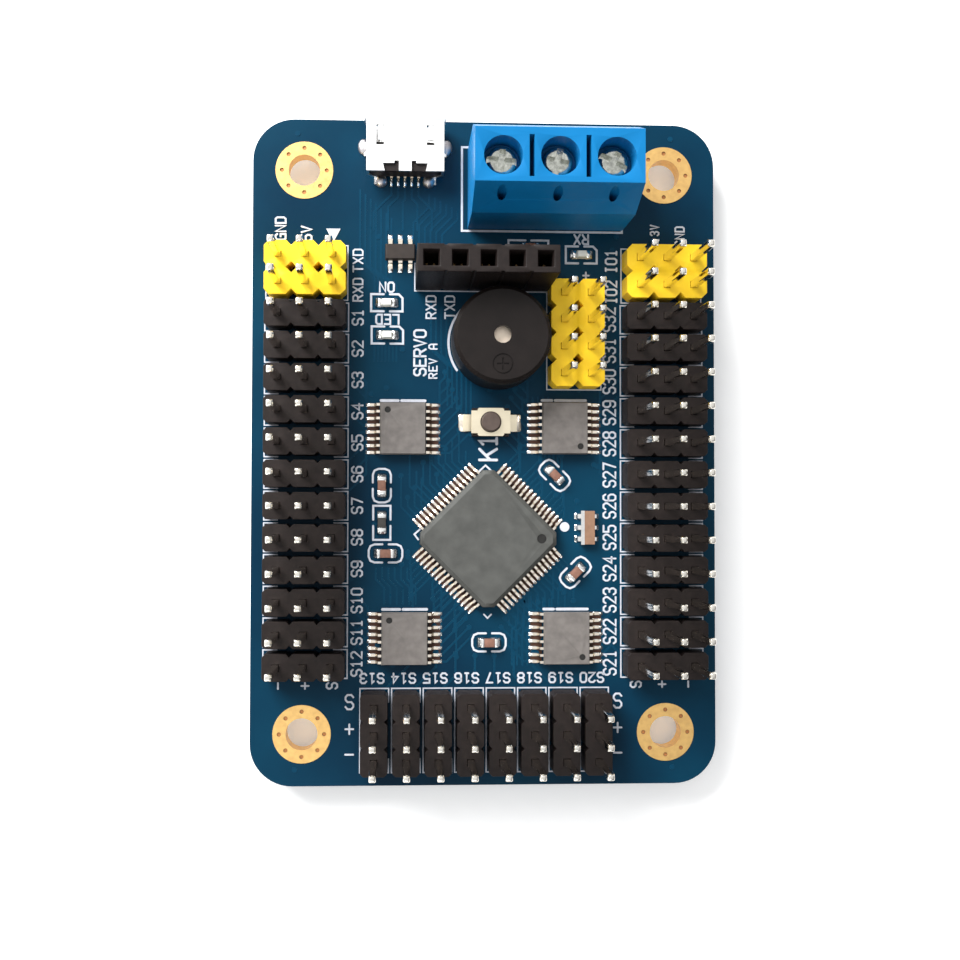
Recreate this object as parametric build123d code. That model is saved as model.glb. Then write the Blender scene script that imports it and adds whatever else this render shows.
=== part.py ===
from build123d import *

import os
from math import cos, radians, sin

# A servo driver board: a small blue controller board that drives 32 hobby servos.
#
# Millimetres, +Z up. The origin is the centre of the four mounting holes on the board's underside, +Y
# runs along the board's long side towards the USB socket and the screw terminals, and +X is to the
# right of them.

# ------------------------------------------------------------------ bare board
BOARD_WIDTH = 44.45
BOARD_LENGTH = 63.5
BOARD_T = 1.6
BOARD_CORNER_R = 4.0

MOUNT_X = 17.35  # hole centres, from the middle of the board
MOUNT_Y = 26.85
MOUNT_R = 1.5
RIM_R = 2.75
PLATING_T = 0.05
VIA_R = 0.2
VIA_RING_R = 2.13
VIA_COUNT = 8

# ------------------------------------------------------------------ pin headers
PITCH = 2.54
PIN_WIDTH = 0.64
PIN_TIP_WIDTH = 0.44
PIN_TIP_LENGTH = 0.22
PIN_ABOVE_BOARD = 8.5
TAIL_BELOW_BOARD = 1.7
PIN_DRILL_R = 0.5
HOUSING_HEIGHT = 2.54
YELLOW_CELL_CHAMFER = 0.5
BLACK_CELL_CHAMFER = 0.3

CHANNEL_PITCH = 3.0  # from one servo connector to the next
SIDE_BANK_X = 17.05  # middle pin of the left and right banks
SIDE_BANK_TOP_Y = 12.75
SIDE_BANK_COUNT = 12
LOWER_BANK_Y = -26.55
LOWER_BANK_COUNT = 8

SIGNAL_HEADER_Y = 17.0
POWER_HEADER_X = 8.57
POWER_HEADER_Y = 11.1

# ------------------------------------------------------------------ solder
SOLDER_R = 0.85
SOLDER_TIP_R = 0.5
SOLDER_HEIGHT = 0.95

# ------------------------------------------------------------------ five-way socket
SOCKET_X = -0.33
SOCKET_Y = 16.68
SOCKET_WAYS = 5
SOCKET_HEIGHT = 8.5
SOCKET_DEPTH = 2.5
SOCKET_CAVITY = (1.6, 1.4)
SOCKET_THROAT = 1.25
SOCKET_FUNNEL = 1.5

# ------------------------------------------------------------------ micro USB socket
USB_X = -7.72
USB_REAR_Y = 26.15
USB_LENGTH = 5.0
USB_WIDTH = 7.3
USB_HEIGHT = 2.6
USB_SHEET_T = 0.25
USB_BEVEL = 1.1
USB_WINDOW_X = 2.37
USB_PIN_PITCH = 0.65
USB_PIN_COUNT = 5

# ------------------------------------------------------------------ screw terminals
TERMINAL_X = 5.8
TERMINAL_PITCH = 5.0
TERMINAL_WAYS = 3
TERMINAL_BACK_Y = 21.4  # the sloped side, towards the middle of the board
TERMINAL_DEPTH = 7.6
TERMINAL_HEIGHT = 10.0
TERMINAL_SLOPE_Z = 5.9
TERMINAL_SLOPE_DEPTH = 1.7
TERMINAL_FRONT_SETBACK = 1.1
TERMINAL_FRONT_Z = 7.2
PROBE_HOLE_R = 0.42
PROBE_HOLE_Y = 1.1  # from the back of the housing, in the slope
PROBE_HOLE_FLOOR_Z = 5.0
SCREW_Y = 25.4
WELL_R = 1.72
SCREW_HEAD_R = 1.36
SCREW_HEAD_T = 1.1
SCREW_HEAD_TOP_Z = 8.4
SCREW_HEAD_ROUND = 0.45
SCREW_SLOT_WIDTH = 0.55
SCREW_SHANK_R = 1.0
SCREW_CLEARANCE = 0.06
SCREW_ANGLES = (-5.0, 78.0, -28.0)  # where each driver slot was left
CAVITY_WIDTH = 3.8
CAVITY_LENGTH = 3.8
CAGE_WIDTH = 3.5
CAGE_LENGTH = 3.2
CAGE_FLOOR_Z = 1.1  # underside of a fully opened cage
CAGE_SHEET_T = 0.5
CAGE_TOP_T = 0.7
CAGE_HEIGHT = 3.8
CAGE_TRAVEL = 1.4
CAVITY_TOP_Z = CAGE_FLOOR_Z + CAGE_HEIGHT + CAGE_TRAVEL + 0.1
CONTACT_TOP_Z = 4.1
CONTACT_T = 0.5
CONTACT_WIDTH = 2.0
CONTACT_LEG_WIDTH = 1.0
CONTACT_LEG_Y = 23.0
CONTACT_DRILL_R = 0.65

# ------------------------------------------------------------------ buzzer
BUZZER_X, BUZZER_Y = 1.2, 10.4
BUZZER_R = 4.5
BUZZER_HEIGHT = 5.5
BUZZER_WALL = 0.5
BUZZER_ROOF_T = 0.6
BUZZER_EDGE = 0.35  # bevel around the top
BUZZER_DISC_Z = 4.0  # underside of the sounding disc, which rests on the base's rim
BUZZER_YOKE_R = 3.4
BUZZER_CORE_TOP_Z = 3.7
BUZZER_VENT_R = 0.8
BUZZER_PIN_R = 0.3
BUZZER_PIN_SPACING = 4.0

# ------------------------------------------------------------------ reset button
BUTTON_X, BUTTON_Y = 0.45, 2.7
BUTTON_WIDTH = 3.7
BUTTON_DEPTH = 2.65
BUTTON_BODY_H = 1.25
BUTTON_COVER_T = 0.2
BUTTON_HEIGHT = 2.0
BUTTON_STEM_R = 0.92
BUTTON_FLANGE_R = 1.15
BUTTON_WELL_R = 1.25
BUTTON_WELL_Z = 0.4
BUTTON_FLANGE_Z = 0.8

# ------------------------------------------------------------------ chips
MCU_X, MCU_Y = 0.26, -8.34
REGISTER_PLACES = (  # x, y, turn of the four 16-lead chips
    (-7.85, 2.1, 0),
    (7.6, 2.2, 180),
    (-7.65, -17.8, 0),
    (7.75, -17.8, 180),
)
MEMORY_X, MEMORY_Y = -8.15, 18.9
RESONATOR_X, RESONATOR_Y = 9.8, -7.3
RESONATOR_SIZE = (1.3, 3.2, 0.8)
BODY_DRAFT = 12

# ------------------------------------------------------------------ small two-ended parts: x, y, turn
SMALL_LENGTH, SMALL_WIDTH = 1.6, 0.8
END_CAP_LENGTH = 0.3
LED_PLACES = ((-9.43, 14.18, 0), (-9.37, 11.08, 0), (9.3, 19.0, 0))
CAPACITOR_PLACES = (
    (-9.85, -3.33, 90),
    (-9.48, -9.78, 0),
    (6.7, -2.3, -45),
    (8.7, -11.6, 45),
    (0.4, -18.25, 0),
    (4.3, 19.55, 0),
)
RESISTOR_PLACES = ((-9.84, -6.87, 90),)
UNDER_RESISTOR_PLACES = (
    (-9.4, 14.2, 0),
    (-9.4, 11.1, 0),
    (12.2, 9.6, 90),
    (3.6, 2.7, 90),
    (-3.4, 13.2, 0),
    (-9.0, -14.0, 90),
)
UNDER_CAPACITOR_PLACES = ((-1.4, 1.0, 90), (-1.4, -6.0, 90), (4.6, -6.0, 90))
REGULATOR_PLACES = ((-6.2, 1.0, 90), (-6.2, -6.0, 90))
DRIVER_PLACE = (-3.4, 9.6, 0)


def on_top(x, y, turn=0):
    """The place of a part that stands on the board's upper face."""
    return Pos(x, y, BOARD_T) * Rot(0, 0, turn)


def underneath(x, y, turn=0):
    """The place of a part that is soldered to the board's lower face."""
    return Pos(x, y, 0) * Rot(180, 0, 0) * Rot(0, 0, turn)


def block(width, length, low_z, high_z, x=0.0, y=0.0):
    """An upright box centred on x, y between two heights."""
    return Pos(x, y, (low_z + high_z) / 2) * Box(width, length, high_z - low_z)


def post(radius, low_z, high_z, x=0.0, y=0.0):
    """An upright cylinder centred on x, y between two heights."""
    return Pos(x, y, (low_z + high_z) / 2) * Cylinder(radius, high_z - low_z)


def upright_prism(face, low_z, high_z):
    """A flat outline drawn out between two heights."""
    return extrude(Pos(0, 0, low_z) * face, amount=high_z - low_z)


def profile_along_x(points, width):
    """A closed outline of (y, z) points drawn out evenly to both sides of the YZ plane."""
    wire = Polyline(*[(0, y, z) for y, z in points], close=True)
    return extrude(make_face(wire), amount=width / 2, both=True, dir=(1, 0, 0))


def row(count, pitch):
    """Even positions along a line, centred on zero."""
    return [(i - (count - 1) / 2) * pitch for i in range(count)]


# ------------------------------------------------------------------ where the through-hole pins go
def servo_header_centres(bank):
    """The middle pins of a bank's three-pin connectors, in channel order."""
    if bank == "lower":
        return [(x, LOWER_BANK_Y) for x in row(LOWER_BANK_COUNT, CHANNEL_PITCH)]
    x = -SIDE_BANK_X if bank == "left" else SIDE_BANK_X
    return [(x, SIDE_BANK_TOP_Y - i * CHANNEL_PITCH) for i in range(SIDE_BANK_COUNT)]


def grid_pins(x, y, columns, rows):
    """Pin centres of a header with its own centre at x, y."""
    return [(x + dx, y + dy) for dx in row(columns, PITCH) for dy in row(rows, PITCH)]


def servo_pins(bank):
    """Every pin centre of one bank of servo connectors."""
    columns, rows = (1, 3) if bank == "lower" else (3, 1)
    return [p for x, y in servo_header_centres(bank) for p in grid_pins(x, y, columns, rows)]


SERIAL_PINS = grid_pins(-SIDE_BANK_X, SIGNAL_HEADER_Y, 3, 2)
IO_PINS = grid_pins(SIDE_BANK_X, SIGNAL_HEADER_Y, 3, 2)
POWER_PINS = grid_pins(POWER_HEADER_X, POWER_HEADER_Y, 2, 4)
SOCKET_PINS = grid_pins(SOCKET_X, SOCKET_Y, SOCKET_WAYS, 1)
BUZZER_PINS = [(BUZZER_X, BUZZER_Y + dy) for dy in row(2, BUZZER_PIN_SPACING)]
TERMINAL_POLES = [TERMINAL_X + dx for dx in row(TERMINAL_WAYS, TERMINAL_PITCH)]
TERMINAL_LEGS = [(x, CONTACT_LEG_Y) for x in TERMINAL_POLES]
MOUNT_CENTRES = [(x, y) for x in (-MOUNT_X, MOUNT_X) for y in (-MOUNT_Y, MOUNT_Y)]
VIA_OFFSETS = [
    (VIA_RING_R * cos(radians(a)), VIA_RING_R * sin(radians(a)))
    for a in range(0, 360, 360 // VIA_COUNT)
]


def header_pin_centres():
    """All square pins: servo banks, two-row headers and the five-way socket."""
    banks = [p for bank in ("left", "right", "lower") for p in servo_pins(bank)]
    return banks + SERIAL_PINS + IO_PINS + POWER_PINS + SOCKET_PINS


# ------------------------------------------------------------------ board, rims and solder
def circuit_board():
    outline = RectangleRounded(BOARD_WIDTH, BOARD_LENGTH, BOARD_CORNER_R)
    drills = [Pos(x, y) * Circle(PIN_DRILL_R) for x, y in header_pin_centres() + BUZZER_PINS]
    drills += [Pos(x, y) * Circle(CONTACT_DRILL_R) for x, y in TERMINAL_LEGS]
    drills += [Pos(x, y) * Circle(MOUNT_R + PLATING_T) for x, y in MOUNT_CENTRES]
    drills += [
        Pos(x + dx, y + dy) * Circle(VIA_R) for x, y in MOUNT_CENTRES for dx, dy in VIA_OFFSETS
    ]
    return upright_prism(outline - drills, 0, BOARD_T)


def mounting_hole_rims():
    """Gold plating through each mounting hole, with a flat ring on both faces and a circle of vias."""
    spool = post(MOUNT_R + PLATING_T, 0, BOARD_T)
    spool += post(RIM_R, BOARD_T, BOARD_T + PLATING_T) + post(RIM_R, -PLATING_T, 0)
    low_z, high_z = -PLATING_T, BOARD_T + PLATING_T
    spool -= post(MOUNT_R, low_z, high_z)
    spool -= [post(VIA_R, low_z, high_z, dx, dy) for dx, dy in VIA_OFFSETS]
    return [Pos(x, y) * spool for x, y in MOUNT_CENTRES]


def solder_cone(hole, base_r=SOLDER_R, tip_r=SOLDER_TIP_R):
    """A hollow-sided cone of solder hanging under the board, around whatever leg fills the hole."""
    outline = Line((0, 0), (base_r, 0))
    outline += SagittaArc((base_r, 0), (tip_r, -SOLDER_HEIGHT), 0.12)
    outline += Polyline((tip_r, -SOLDER_HEIGHT), (0, -SOLDER_HEIGHT), (0, 0))
    cone = revolve(Plane.XZ * make_face(outline), Axis.Z)
    return cone - hole


def solder_joints():
    low_z = -SOLDER_HEIGHT
    square = solder_cone(block(PIN_WIDTH, PIN_WIDTH, low_z, 0))
    round_leg = solder_cone(post(BUZZER_PIN_R, low_z, 0))
    flat_leg = solder_cone(block(CONTACT_LEG_WIDTH, CONTACT_T, low_z, 0), 1.25, 0.75)
    joints = [Pos(x, y) * square for x, y in header_pin_centres()]
    joints += [Pos(x, y) * round_leg for x, y in BUZZER_PINS]
    joints += [Pos(x, y) * flat_leg for x, y in TERMINAL_LEGS]
    return joints


# ------------------------------------------------------------------ headers
def header_pin():
    """One square pin with a blunt tapered end at the top and at the tail."""
    top, bottom = BOARD_T + PIN_ABOVE_BOARD, -TAIL_BELOW_BOARD
    pin = block(PIN_WIDTH, PIN_WIDTH, bottom + PIN_TIP_LENGTH, top - PIN_TIP_LENGTH)
    full = Rectangle(PIN_WIDTH, PIN_WIDTH)
    blunt = Rectangle(PIN_TIP_WIDTH, PIN_TIP_WIDTH)
    pin += loft([Pos(0, 0, top - PIN_TIP_LENGTH) * full, Pos(0, 0, top) * blunt])
    pin += loft([Pos(0, 0, bottom) * blunt, Pos(0, 0, bottom + PIN_TIP_LENGTH) * full])
    return pin


def header_pins(centres):
    pin = header_pin()
    return [Pos(x, y) * pin for x, y in centres]


def header_housing(columns, rows, corner):
    """A moulded strip of cells with their corners cut, and a square hole through each cell."""
    cell = chamfer(Rectangle(PITCH, PITCH).vertices(), corner)
    hole = Rectangle(PIN_WIDTH, PIN_WIDTH)
    places = grid_pins(0, 0, columns, rows)
    outline = Sketch() + [Pos(x, y) * cell for x, y in places]
    outline -= [Pos(x, y) * hole for x, y in places]
    return upright_prism(outline, 0, HOUSING_HEIGHT)


def two_strips(x, y, columns, rows):
    """Two strips side by side, as a two-row header is made: rows of three or columns of four."""
    if rows == 2:
        strip, shifts = header_housing(columns, 1, YELLOW_CELL_CHAMFER), [(0, dy) for dy in row(2, PITCH)]
    else:
        strip, shifts = header_housing(1, rows, YELLOW_CELL_CHAMFER), [(dx, 0) for dx in row(2, PITCH)]
    return [on_top(x + dx, y + dy) * strip for dx, dy in shifts]


def servo_housings(bank):
    columns, rows = (1, 3) if bank == "lower" else (3, 1)
    housing = header_housing(columns, rows, BLACK_CELL_CHAMFER)
    return [on_top(x, y) * housing for x, y in servo_header_centres(bank)]


# ------------------------------------------------------------------ five-way socket
def socket_housing():
    length = SOCKET_WAYS * PITCH
    funnel_z = SOCKET_HEIGHT - 0.45
    cavity_z = SOCKET_HEIGHT - 1.3
    body = block(length, SOCKET_DEPTH, 0, SOCKET_HEIGHT)
    for x in row(SOCKET_WAYS, PITCH):
        funnel = loft(
            [
                Pos(x, 0, funnel_z) * Rectangle(SOCKET_THROAT, SOCKET_THROAT),
                Pos(x, 0, SOCKET_HEIGHT) * Rectangle(SOCKET_FUNNEL, SOCKET_FUNNEL),
            ]
        )
        body -= funnel + block(SOCKET_THROAT, SOCKET_THROAT, cavity_z, funnel_z, x)
        body -= block(*SOCKET_CAVITY, 0, cavity_z, x)
    for x in row(SOCKET_WAYS + 1, PITCH)[1:-1]:
        for side in (-1, 1):
            body -= block(0.3, 0.2, 0, SOCKET_HEIGHT, x, side * SOCKET_DEPTH / 2)
    return on_top(SOCKET_X, SOCKET_Y) * body


def socket_contact():
    """A fork of two leaves on a block, with a square tail through the board."""
    leaf_gap, leaf_t, leaf_width = 0.5, 0.18, 0.7
    block_top, leaf_top = 1.2, 4.4
    contact = block(1.2, leaf_width, 0.4, block_top)
    contact += block(PIN_WIDTH, PIN_WIDTH, -BOARD_T - TAIL_BELOW_BOARD, 0.4)
    for side in (-1, 1):
        x = side * (leaf_gap + leaf_t) / 2
        contact += block(leaf_t, leaf_width, block_top, leaf_top, x)
    return contact


def socket_contacts():
    contact = socket_contact()
    return [on_top(x, y) * contact for x, y in SOCKET_PINS]


# ------------------------------------------------------------------ micro USB socket
def usb_section(inset=0.0):
    """The shell's outline seen from its mouth: flat top, bevelled lower corners."""
    half, bevel = USB_WIDTH / 2 - inset, USB_BEVEL - inset / 2
    low, high = inset, USB_HEIGHT - inset
    points = [
        (-half, high),
        (half, high),
        (half, low + bevel),
        (half - bevel, low),
        (-half + bevel, low),
        (-half, low + bevel),
    ]
    return make_face(Polyline(*[(x, 0, z) for x, z in points], close=True))


def along_y(face, start, end, taper=0.0):
    return extrude(Pos(0, start, 0) * face, amount=end - start, dir=(0, 1, 0), taper=taper)


def usb_rear_notches():
    """The two stepped openings in the top of the shell, at its back edge, as cutters."""
    points = [(0.6, -0.1), (0.6, 0.95), (1.02, 0.95), (1.02, 0.72), (2.1, 0.72), (1.9, -0.1)]
    outline = make_face(Polyline(*points, close=True))
    notch = upright_prism(outline, USB_HEIGHT - 0.5, USB_HEIGHT)
    return [notch, mirror(notch, Plane.YZ)]


def usb_shell():
    lip_start = USB_LENGTH - 0.4
    outer, inner = usb_section(), usb_section(USB_SHEET_T)
    shell = along_y(outer, 0, lip_start) - along_y(inner, 0, lip_start)
    shell -= block(3.6, 1.6, 0, 0.5, 0, 0.8)
    lip = along_y(outer, lip_start, USB_LENGTH, -25) - along_y(inner, lip_start, USB_LENGTH, -25)
    shell += lip & block(12, 12, 0, 12)
    for side in (-1, 1):
        top = USB_HEIGHT
        shell -= block(0.72, 1.9, top - 0.5, top, side * USB_WINDOW_X, 3.4)
        shell += block(0.8, 1.3, 0, USB_SHEET_T, side * (USB_WIDTH / 2 - 0.1), 2.75) & block(
            12, 12, 0, 12
        )
        shell += block(0.25, 1.3, 0, USB_BEVEL + 0.3, side * (USB_WIDTH / 2 - 0.125), 2.75)
        shell += block(1.1, 0.9, 0, USB_SHEET_T, side * 2.4, -0.15)
    for notch in usb_rear_notches():
        shell -= notch
    return on_top(USB_X, USB_REAR_Y) * shell


def usb_contact():
    """One contact strip: a flat foot behind the socket, a riser, and a blade under the tongue."""
    t, blade_z = 0.12, 1.38
    points = [
        (-0.6, 0),
        (0.25, 0),
        (0.25, blade_z - t),
        (4.3, blade_z - t),
        (4.3, blade_z),
        (0.25 - t, blade_z),
        (0.25 - t, t),
        (-0.6, t),
    ]
    return profile_along_x(points, 0.25)


def usb_contacts(place=on_top(USB_X, USB_REAR_Y)):
    contact = usb_contact()
    return [place * Pos(x, 0, 0) * contact for x in row(USB_PIN_COUNT, USB_PIN_PITCH)]


def usb_insulator():
    """The tongue, the block that closes the back of the shell, and an arm under each latch."""
    rear = along_y(usb_section(USB_SHEET_T + 0.02), 0.05, 1.35)
    rear -= block(8, 2, 0, 0.55, 0, 0)
    tongue = block(3.7, 3.3, 1.38, 1.95, 0, 2.95)
    body = rear + tongue
    for side in (-1, 1):
        body += block(0.9, 1.55, 1.1, 1.95, side * USB_WINDOW_X, 2.12)
    for contact in usb_contacts(Pos(0, 0, 0)):
        body -= contact
    return on_top(USB_X, USB_REAR_Y) * body


# ------------------------------------------------------------------ screw terminals
def terminal_housing():
    back, front = 0.0, TERMINAL_DEPTH
    outline = [
        (back, 0),
        (back, TERMINAL_SLOPE_Z),
        (TERMINAL_SLOPE_DEPTH, TERMINAL_HEIGHT),
        (front - TERMINAL_FRONT_SETBACK, TERMINAL_HEIGHT),
        (front, TERMINAL_FRONT_Z),
        (front, 0),
    ]
    body = profile_along_x(outline, TERMINAL_PITCH * TERMINAL_WAYS)
    screw_y = SCREW_Y - TERMINAL_BACK_Y
    seat_z = SCREW_HEAD_TOP_Z - SCREW_HEAD_T
    for x in row(TERMINAL_WAYS, TERMINAL_PITCH):
        body -= post(WELL_R, seat_z, TERMINAL_HEIGHT, x, screw_y)
        body -= post(SCREW_SHANK_R + SCREW_CLEARANCE, CAVITY_TOP_Z, seat_z, x, screw_y)
        body -= block(CAVITY_WIDTH, CAVITY_LENGTH, 0, CAVITY_TOP_Z, x, screw_y)
        entry_length = TERMINAL_DEPTH - screw_y
        body -= block(3.1, entry_length, 1.1, 4.9, x, screw_y + entry_length / 2)
        leg_slot_y = CONTACT_LEG_Y - TERMINAL_BACK_Y
        slot_length = screw_y - leg_slot_y + CONTACT_T / 2
        slot_y = leg_slot_y - CONTACT_T / 2 + slot_length / 2
        body -= block(CONTACT_WIDTH, slot_length, 0, CONTACT_TOP_Z, x, slot_y)
        body -= post(PROBE_HOLE_R, PROBE_HOLE_FLOOR_Z, TERMINAL_HEIGHT, x, PROBE_HOLE_Y)
    for x in row(TERMINAL_WAYS - 1, TERMINAL_PITCH):
        body -= block(0.45, 3.7, TERMINAL_HEIGHT - 2.6, TERMINAL_HEIGHT, x, screw_y)
    return on_top(TERMINAL_X, TERMINAL_BACK_Y) * body


def terminal_screw(x, angle):
    """A round-edged screw with a crossed slot; it turns in place and lifts the cage."""
    low_z = CONTACT_TOP_Z + 0.05
    seat_z = SCREW_HEAD_TOP_Z - SCREW_HEAD_T
    head = post(SCREW_HEAD_R, seat_z, SCREW_HEAD_TOP_Z)
    head = fillet(head.edges().group_by(Axis.Z)[-1], SCREW_HEAD_ROUND)
    screw = head + post(SCREW_SHANK_R, low_z, seat_z)
    slot_z = SCREW_HEAD_TOP_Z - 0.6
    screw -= block(2 * SCREW_HEAD_R, SCREW_SLOT_WIDTH, slot_z, SCREW_HEAD_TOP_Z)
    screw -= block(SCREW_SLOT_WIDTH, 2.0, slot_z, SCREW_HEAD_TOP_Z)
    return on_top(x, SCREW_Y, angle) * screw


def terminal_cage(x):
    """A box of bent sheet, open front and back, that the screw lifts to pinch a wire."""
    low_z, high_z = CAGE_FLOOR_Z, CAGE_FLOOR_Z + CAGE_HEIGHT
    cage = block(CAGE_WIDTH, CAGE_LENGTH, low_z, high_z)
    inner_width = CAGE_WIDTH - 2 * CAGE_SHEET_T
    cage -= block(inner_width, CAGE_LENGTH, low_z + CAGE_SHEET_T, high_z - CAGE_TOP_T)
    cage -= post(SCREW_SHANK_R + SCREW_CLEARANCE, high_z - CAGE_TOP_T, high_z)
    return on_top(x, SCREW_Y) * cage


def terminal_contact(x):
    """The fixed plate through the cage, bent down behind it into a leg through the board."""
    leg_y = CONTACT_LEG_Y - SCREW_Y
    front_y = CAGE_LENGTH / 2
    rear_y = leg_y - CONTACT_T / 2
    plate_z = CONTACT_TOP_Z - CONTACT_T
    plate = block(
        CONTACT_WIDTH, front_y - rear_y, plate_z, CONTACT_TOP_Z, 0, (front_y + rear_y) / 2
    )
    leg = block(CONTACT_LEG_WIDTH, CONTACT_T, -BOARD_T - TAIL_BELOW_BOARD, 0, 0, leg_y)
    shoulder = block(CONTACT_WIDTH, CONTACT_T, 0, plate_z, 0, leg_y)
    return on_top(x, SCREW_Y) * (plate + shoulder + leg)


# ------------------------------------------------------------------ buzzer
def buzzer_case():
    roof_z = BUZZER_HEIGHT - BUZZER_ROOF_T
    case = post(BUZZER_R, 0, BUZZER_HEIGHT)
    case = chamfer(case.edges().group_by(Axis.Z)[-1], BUZZER_EDGE)
    case -= post(BUZZER_R - BUZZER_WALL, 0, roof_z)
    case -= post(BUZZER_VENT_R, roof_z, BUZZER_HEIGHT)
    return on_top(BUZZER_X, BUZZER_Y) * (case - polarity_mark(BUZZER_HEIGHT))


def polarity_mark(top_z):
    """A shallow ring with a plus sign in it, as a cutter."""
    low_z, y = top_z - 0.1, -2.7
    mark = post(0.95, low_z, top_z, 0, y) - post(0.82, low_z, top_z, 0, y)
    mark += block(1.1, 0.16, low_z, top_z, 0, y)
    return mark + block(0.16, 1.1, low_z, top_z, 0, y)


def buzzer_base():
    """The floor that the pins pass through, with a rim that carries the sounding disc."""
    inside_r = BUZZER_R - BUZZER_WALL
    base = post(inside_r, 0.1, BUZZER_DISC_Z) - post(BUZZER_YOKE_R + 0.15, 0.7, BUZZER_DISC_Z)
    for dy in row(2, BUZZER_PIN_SPACING):
        base -= post(BUZZER_PIN_R, 0.1, 0.7, 0, dy)
    return on_top(BUZZER_X, BUZZER_Y) * base


def buzzer_pins():
    pin = post(BUZZER_PIN_R, -TAIL_BELOW_BOARD, BOARD_T + 0.9)
    return [Pos(x, y) * pin for x, y in BUZZER_PINS]


def buzzer_yoke():
    yoke = post(BUZZER_YOKE_R, 1.0, 1.4) + post(0.75, 1.4, BUZZER_CORE_TOP_Z)
    for dy in row(2, BUZZER_PIN_SPACING):
        yoke -= post(BUZZER_PIN_R + 0.2, 1.0, 1.4, 0, dy)
    return on_top(BUZZER_X, BUZZER_Y) * yoke


def buzzer_coil():
    top_z = BUZZER_CORE_TOP_Z - 0.1
    return on_top(BUZZER_X, BUZZER_Y) * (post(1.55, 1.45, top_z) - post(0.8, 1.45, top_z))


def buzzer_magnet():
    magnet = post(BUZZER_YOKE_R, 1.4, BUZZER_CORE_TOP_Z) - post(2.6, 1.4, BUZZER_CORE_TOP_Z)
    return on_top(BUZZER_X, BUZZER_Y) * magnet


def buzzer_diaphragm():
    """A thin steel disc on the base's rim, with a small weight in the middle."""
    disc = post(3.9, BUZZER_DISC_Z, BUZZER_DISC_Z + 0.1)
    disc += post(1.1, BUZZER_DISC_Z + 0.1, BUZZER_DISC_Z + 0.4)
    return on_top(BUZZER_X, BUZZER_Y) * disc


# ------------------------------------------------------------------ reset button
def reset_button_base():
    base = block(BUTTON_WIDTH - 0.2, BUTTON_DEPTH, 0, BUTTON_BODY_H)
    base -= post(BUTTON_WELL_R, BUTTON_WELL_Z, BUTTON_BODY_H)
    base -= [block(0.5, 1.6, 0, 0.5, side * 1.7) for side in (-1, 1)]
    return on_top(BUTTON_X, BUTTON_Y) * base


def reset_button_cover():
    """A sheet steel lid with cut corners, a round hole and two small ears."""
    outline = chamfer(Rectangle(2.5, BUTTON_DEPTH).vertices(), 0.12)
    outline += Rectangle(BUTTON_WIDTH, BUTTON_DEPTH - 0.5)
    outline -= Circle(BUTTON_STEM_R + 0.08)
    lid = upright_prism(outline, BUTTON_BODY_H, BUTTON_BODY_H + BUTTON_COVER_T)
    return on_top(BUTTON_X, BUTTON_Y) * lid


def reset_button_terminals():
    """Two flat tabs, one at each end, stepped down onto their pads."""
    tab = block(1.1, 1.6, 0, 0.2)
    tabs = [Pos(side * 2.05, 0, 0) * tab for side in (-1, 1)]
    return [on_top(BUTTON_X, BUTTON_Y) * t for t in tabs]


def reset_button_dome():
    """A thin steel snap disc that pushes the plunger back up."""
    arch = ThreePointArc((-1.1, BUTTON_WELL_Z), (0, 0.7), (1.1, BUTTON_WELL_Z))
    arch += ThreePointArc((1.1, BUTTON_WELL_Z), (0, 0.78), (-1.1, BUTTON_WELL_Z))
    half = make_face(arch) & Pos(0.6, 0.6) * Rectangle(1.2, 1.2)
    return on_top(BUTTON_X, BUTTON_Y) * revolve(Plane.XZ * half, Axis.Z)


def reset_button_plunger():
    plunger = post(BUTTON_FLANGE_R, BUTTON_FLANGE_Z, BUTTON_BODY_H - 0.03)
    stem = post(BUTTON_STEM_R, BUTTON_BODY_H - 0.03, BUTTON_HEIGHT)
    stem = chamfer(stem.edges().group_by(Axis.Z)[-1], 0.1)
    return on_top(BUTTON_X, BUTTON_Y) * (plunger + stem)


# ------------------------------------------------------------------ moulded chips
def moulded_body(width, length, height, standoff=0.1, dimple=None, corner=0.0, bevel=0.0):
    """An epoxy body, widest at the level of its leads, with an optional round pin-one mark."""
    half = height / 2
    outline = Rectangle(width, length)
    if corner:
        outline = chamfer(outline.vertices(), corner)
    upper = extrude(outline, amount=half, taper=BODY_DRAFT)
    body = Pos(0, 0, standoff + half) * (upper + mirror(upper, Plane.XY))
    if bevel:
        body = chamfer(body.faces().sort_by(Axis.Z)[-1].edges(), bevel)
    if dimple:
        x, y, radius = dimple
        top = standoff + height
        body -= post(radius, top - 0.06, top, x, y)
    return body


def gull_wing(shoulder_z, reach, width, t=0.14):
    """A bent lead that leaves a body along +X at shoulder height and lands flat on the board."""
    bend, foot = 0.32 * reach, 0.5 * reach
    wire = Polyline(
        (0, 0, shoulder_z + t / 2),
        (bend, 0, shoulder_z + t / 2),
        (foot + 0.5 * t, 0, t),
        (reach, 0, t),
        (reach, 0, 0),
        (foot - 0.5 * t, 0, 0),
        (bend - t, 0, shoulder_z - t / 2),
        (0, 0, shoulder_z - t / 2),
        close=True,
    )
    return extrude(make_face(wire), amount=width / 2, both=True, dir=(0, 1, 0))


def lead_row(lead, half_width, count, pitch, turn):
    """One side's leads, spread along the side that the turn points at."""
    return [Rot(0, 0, turn) * Pos(half_width, y, 0) * lead for y in row(count, pitch)]


def chip_leads(lead, half_width, count, pitch, turns):
    return [s for turn in turns for s in lead_row(lead, half_width, count, pitch, turn)]


MCU_PLACE = on_top(MCU_X, MCU_Y, -45)
MEMORY_PLACE = on_top(MEMORY_X, MEMORY_Y, 90)


def microcontroller_body():
    return MCU_PLACE * moulded_body(10.0, 10.0, 1.4, dimple=(3.55, 3.55, 0.45), corner=0.8, bevel=0.28)


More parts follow.
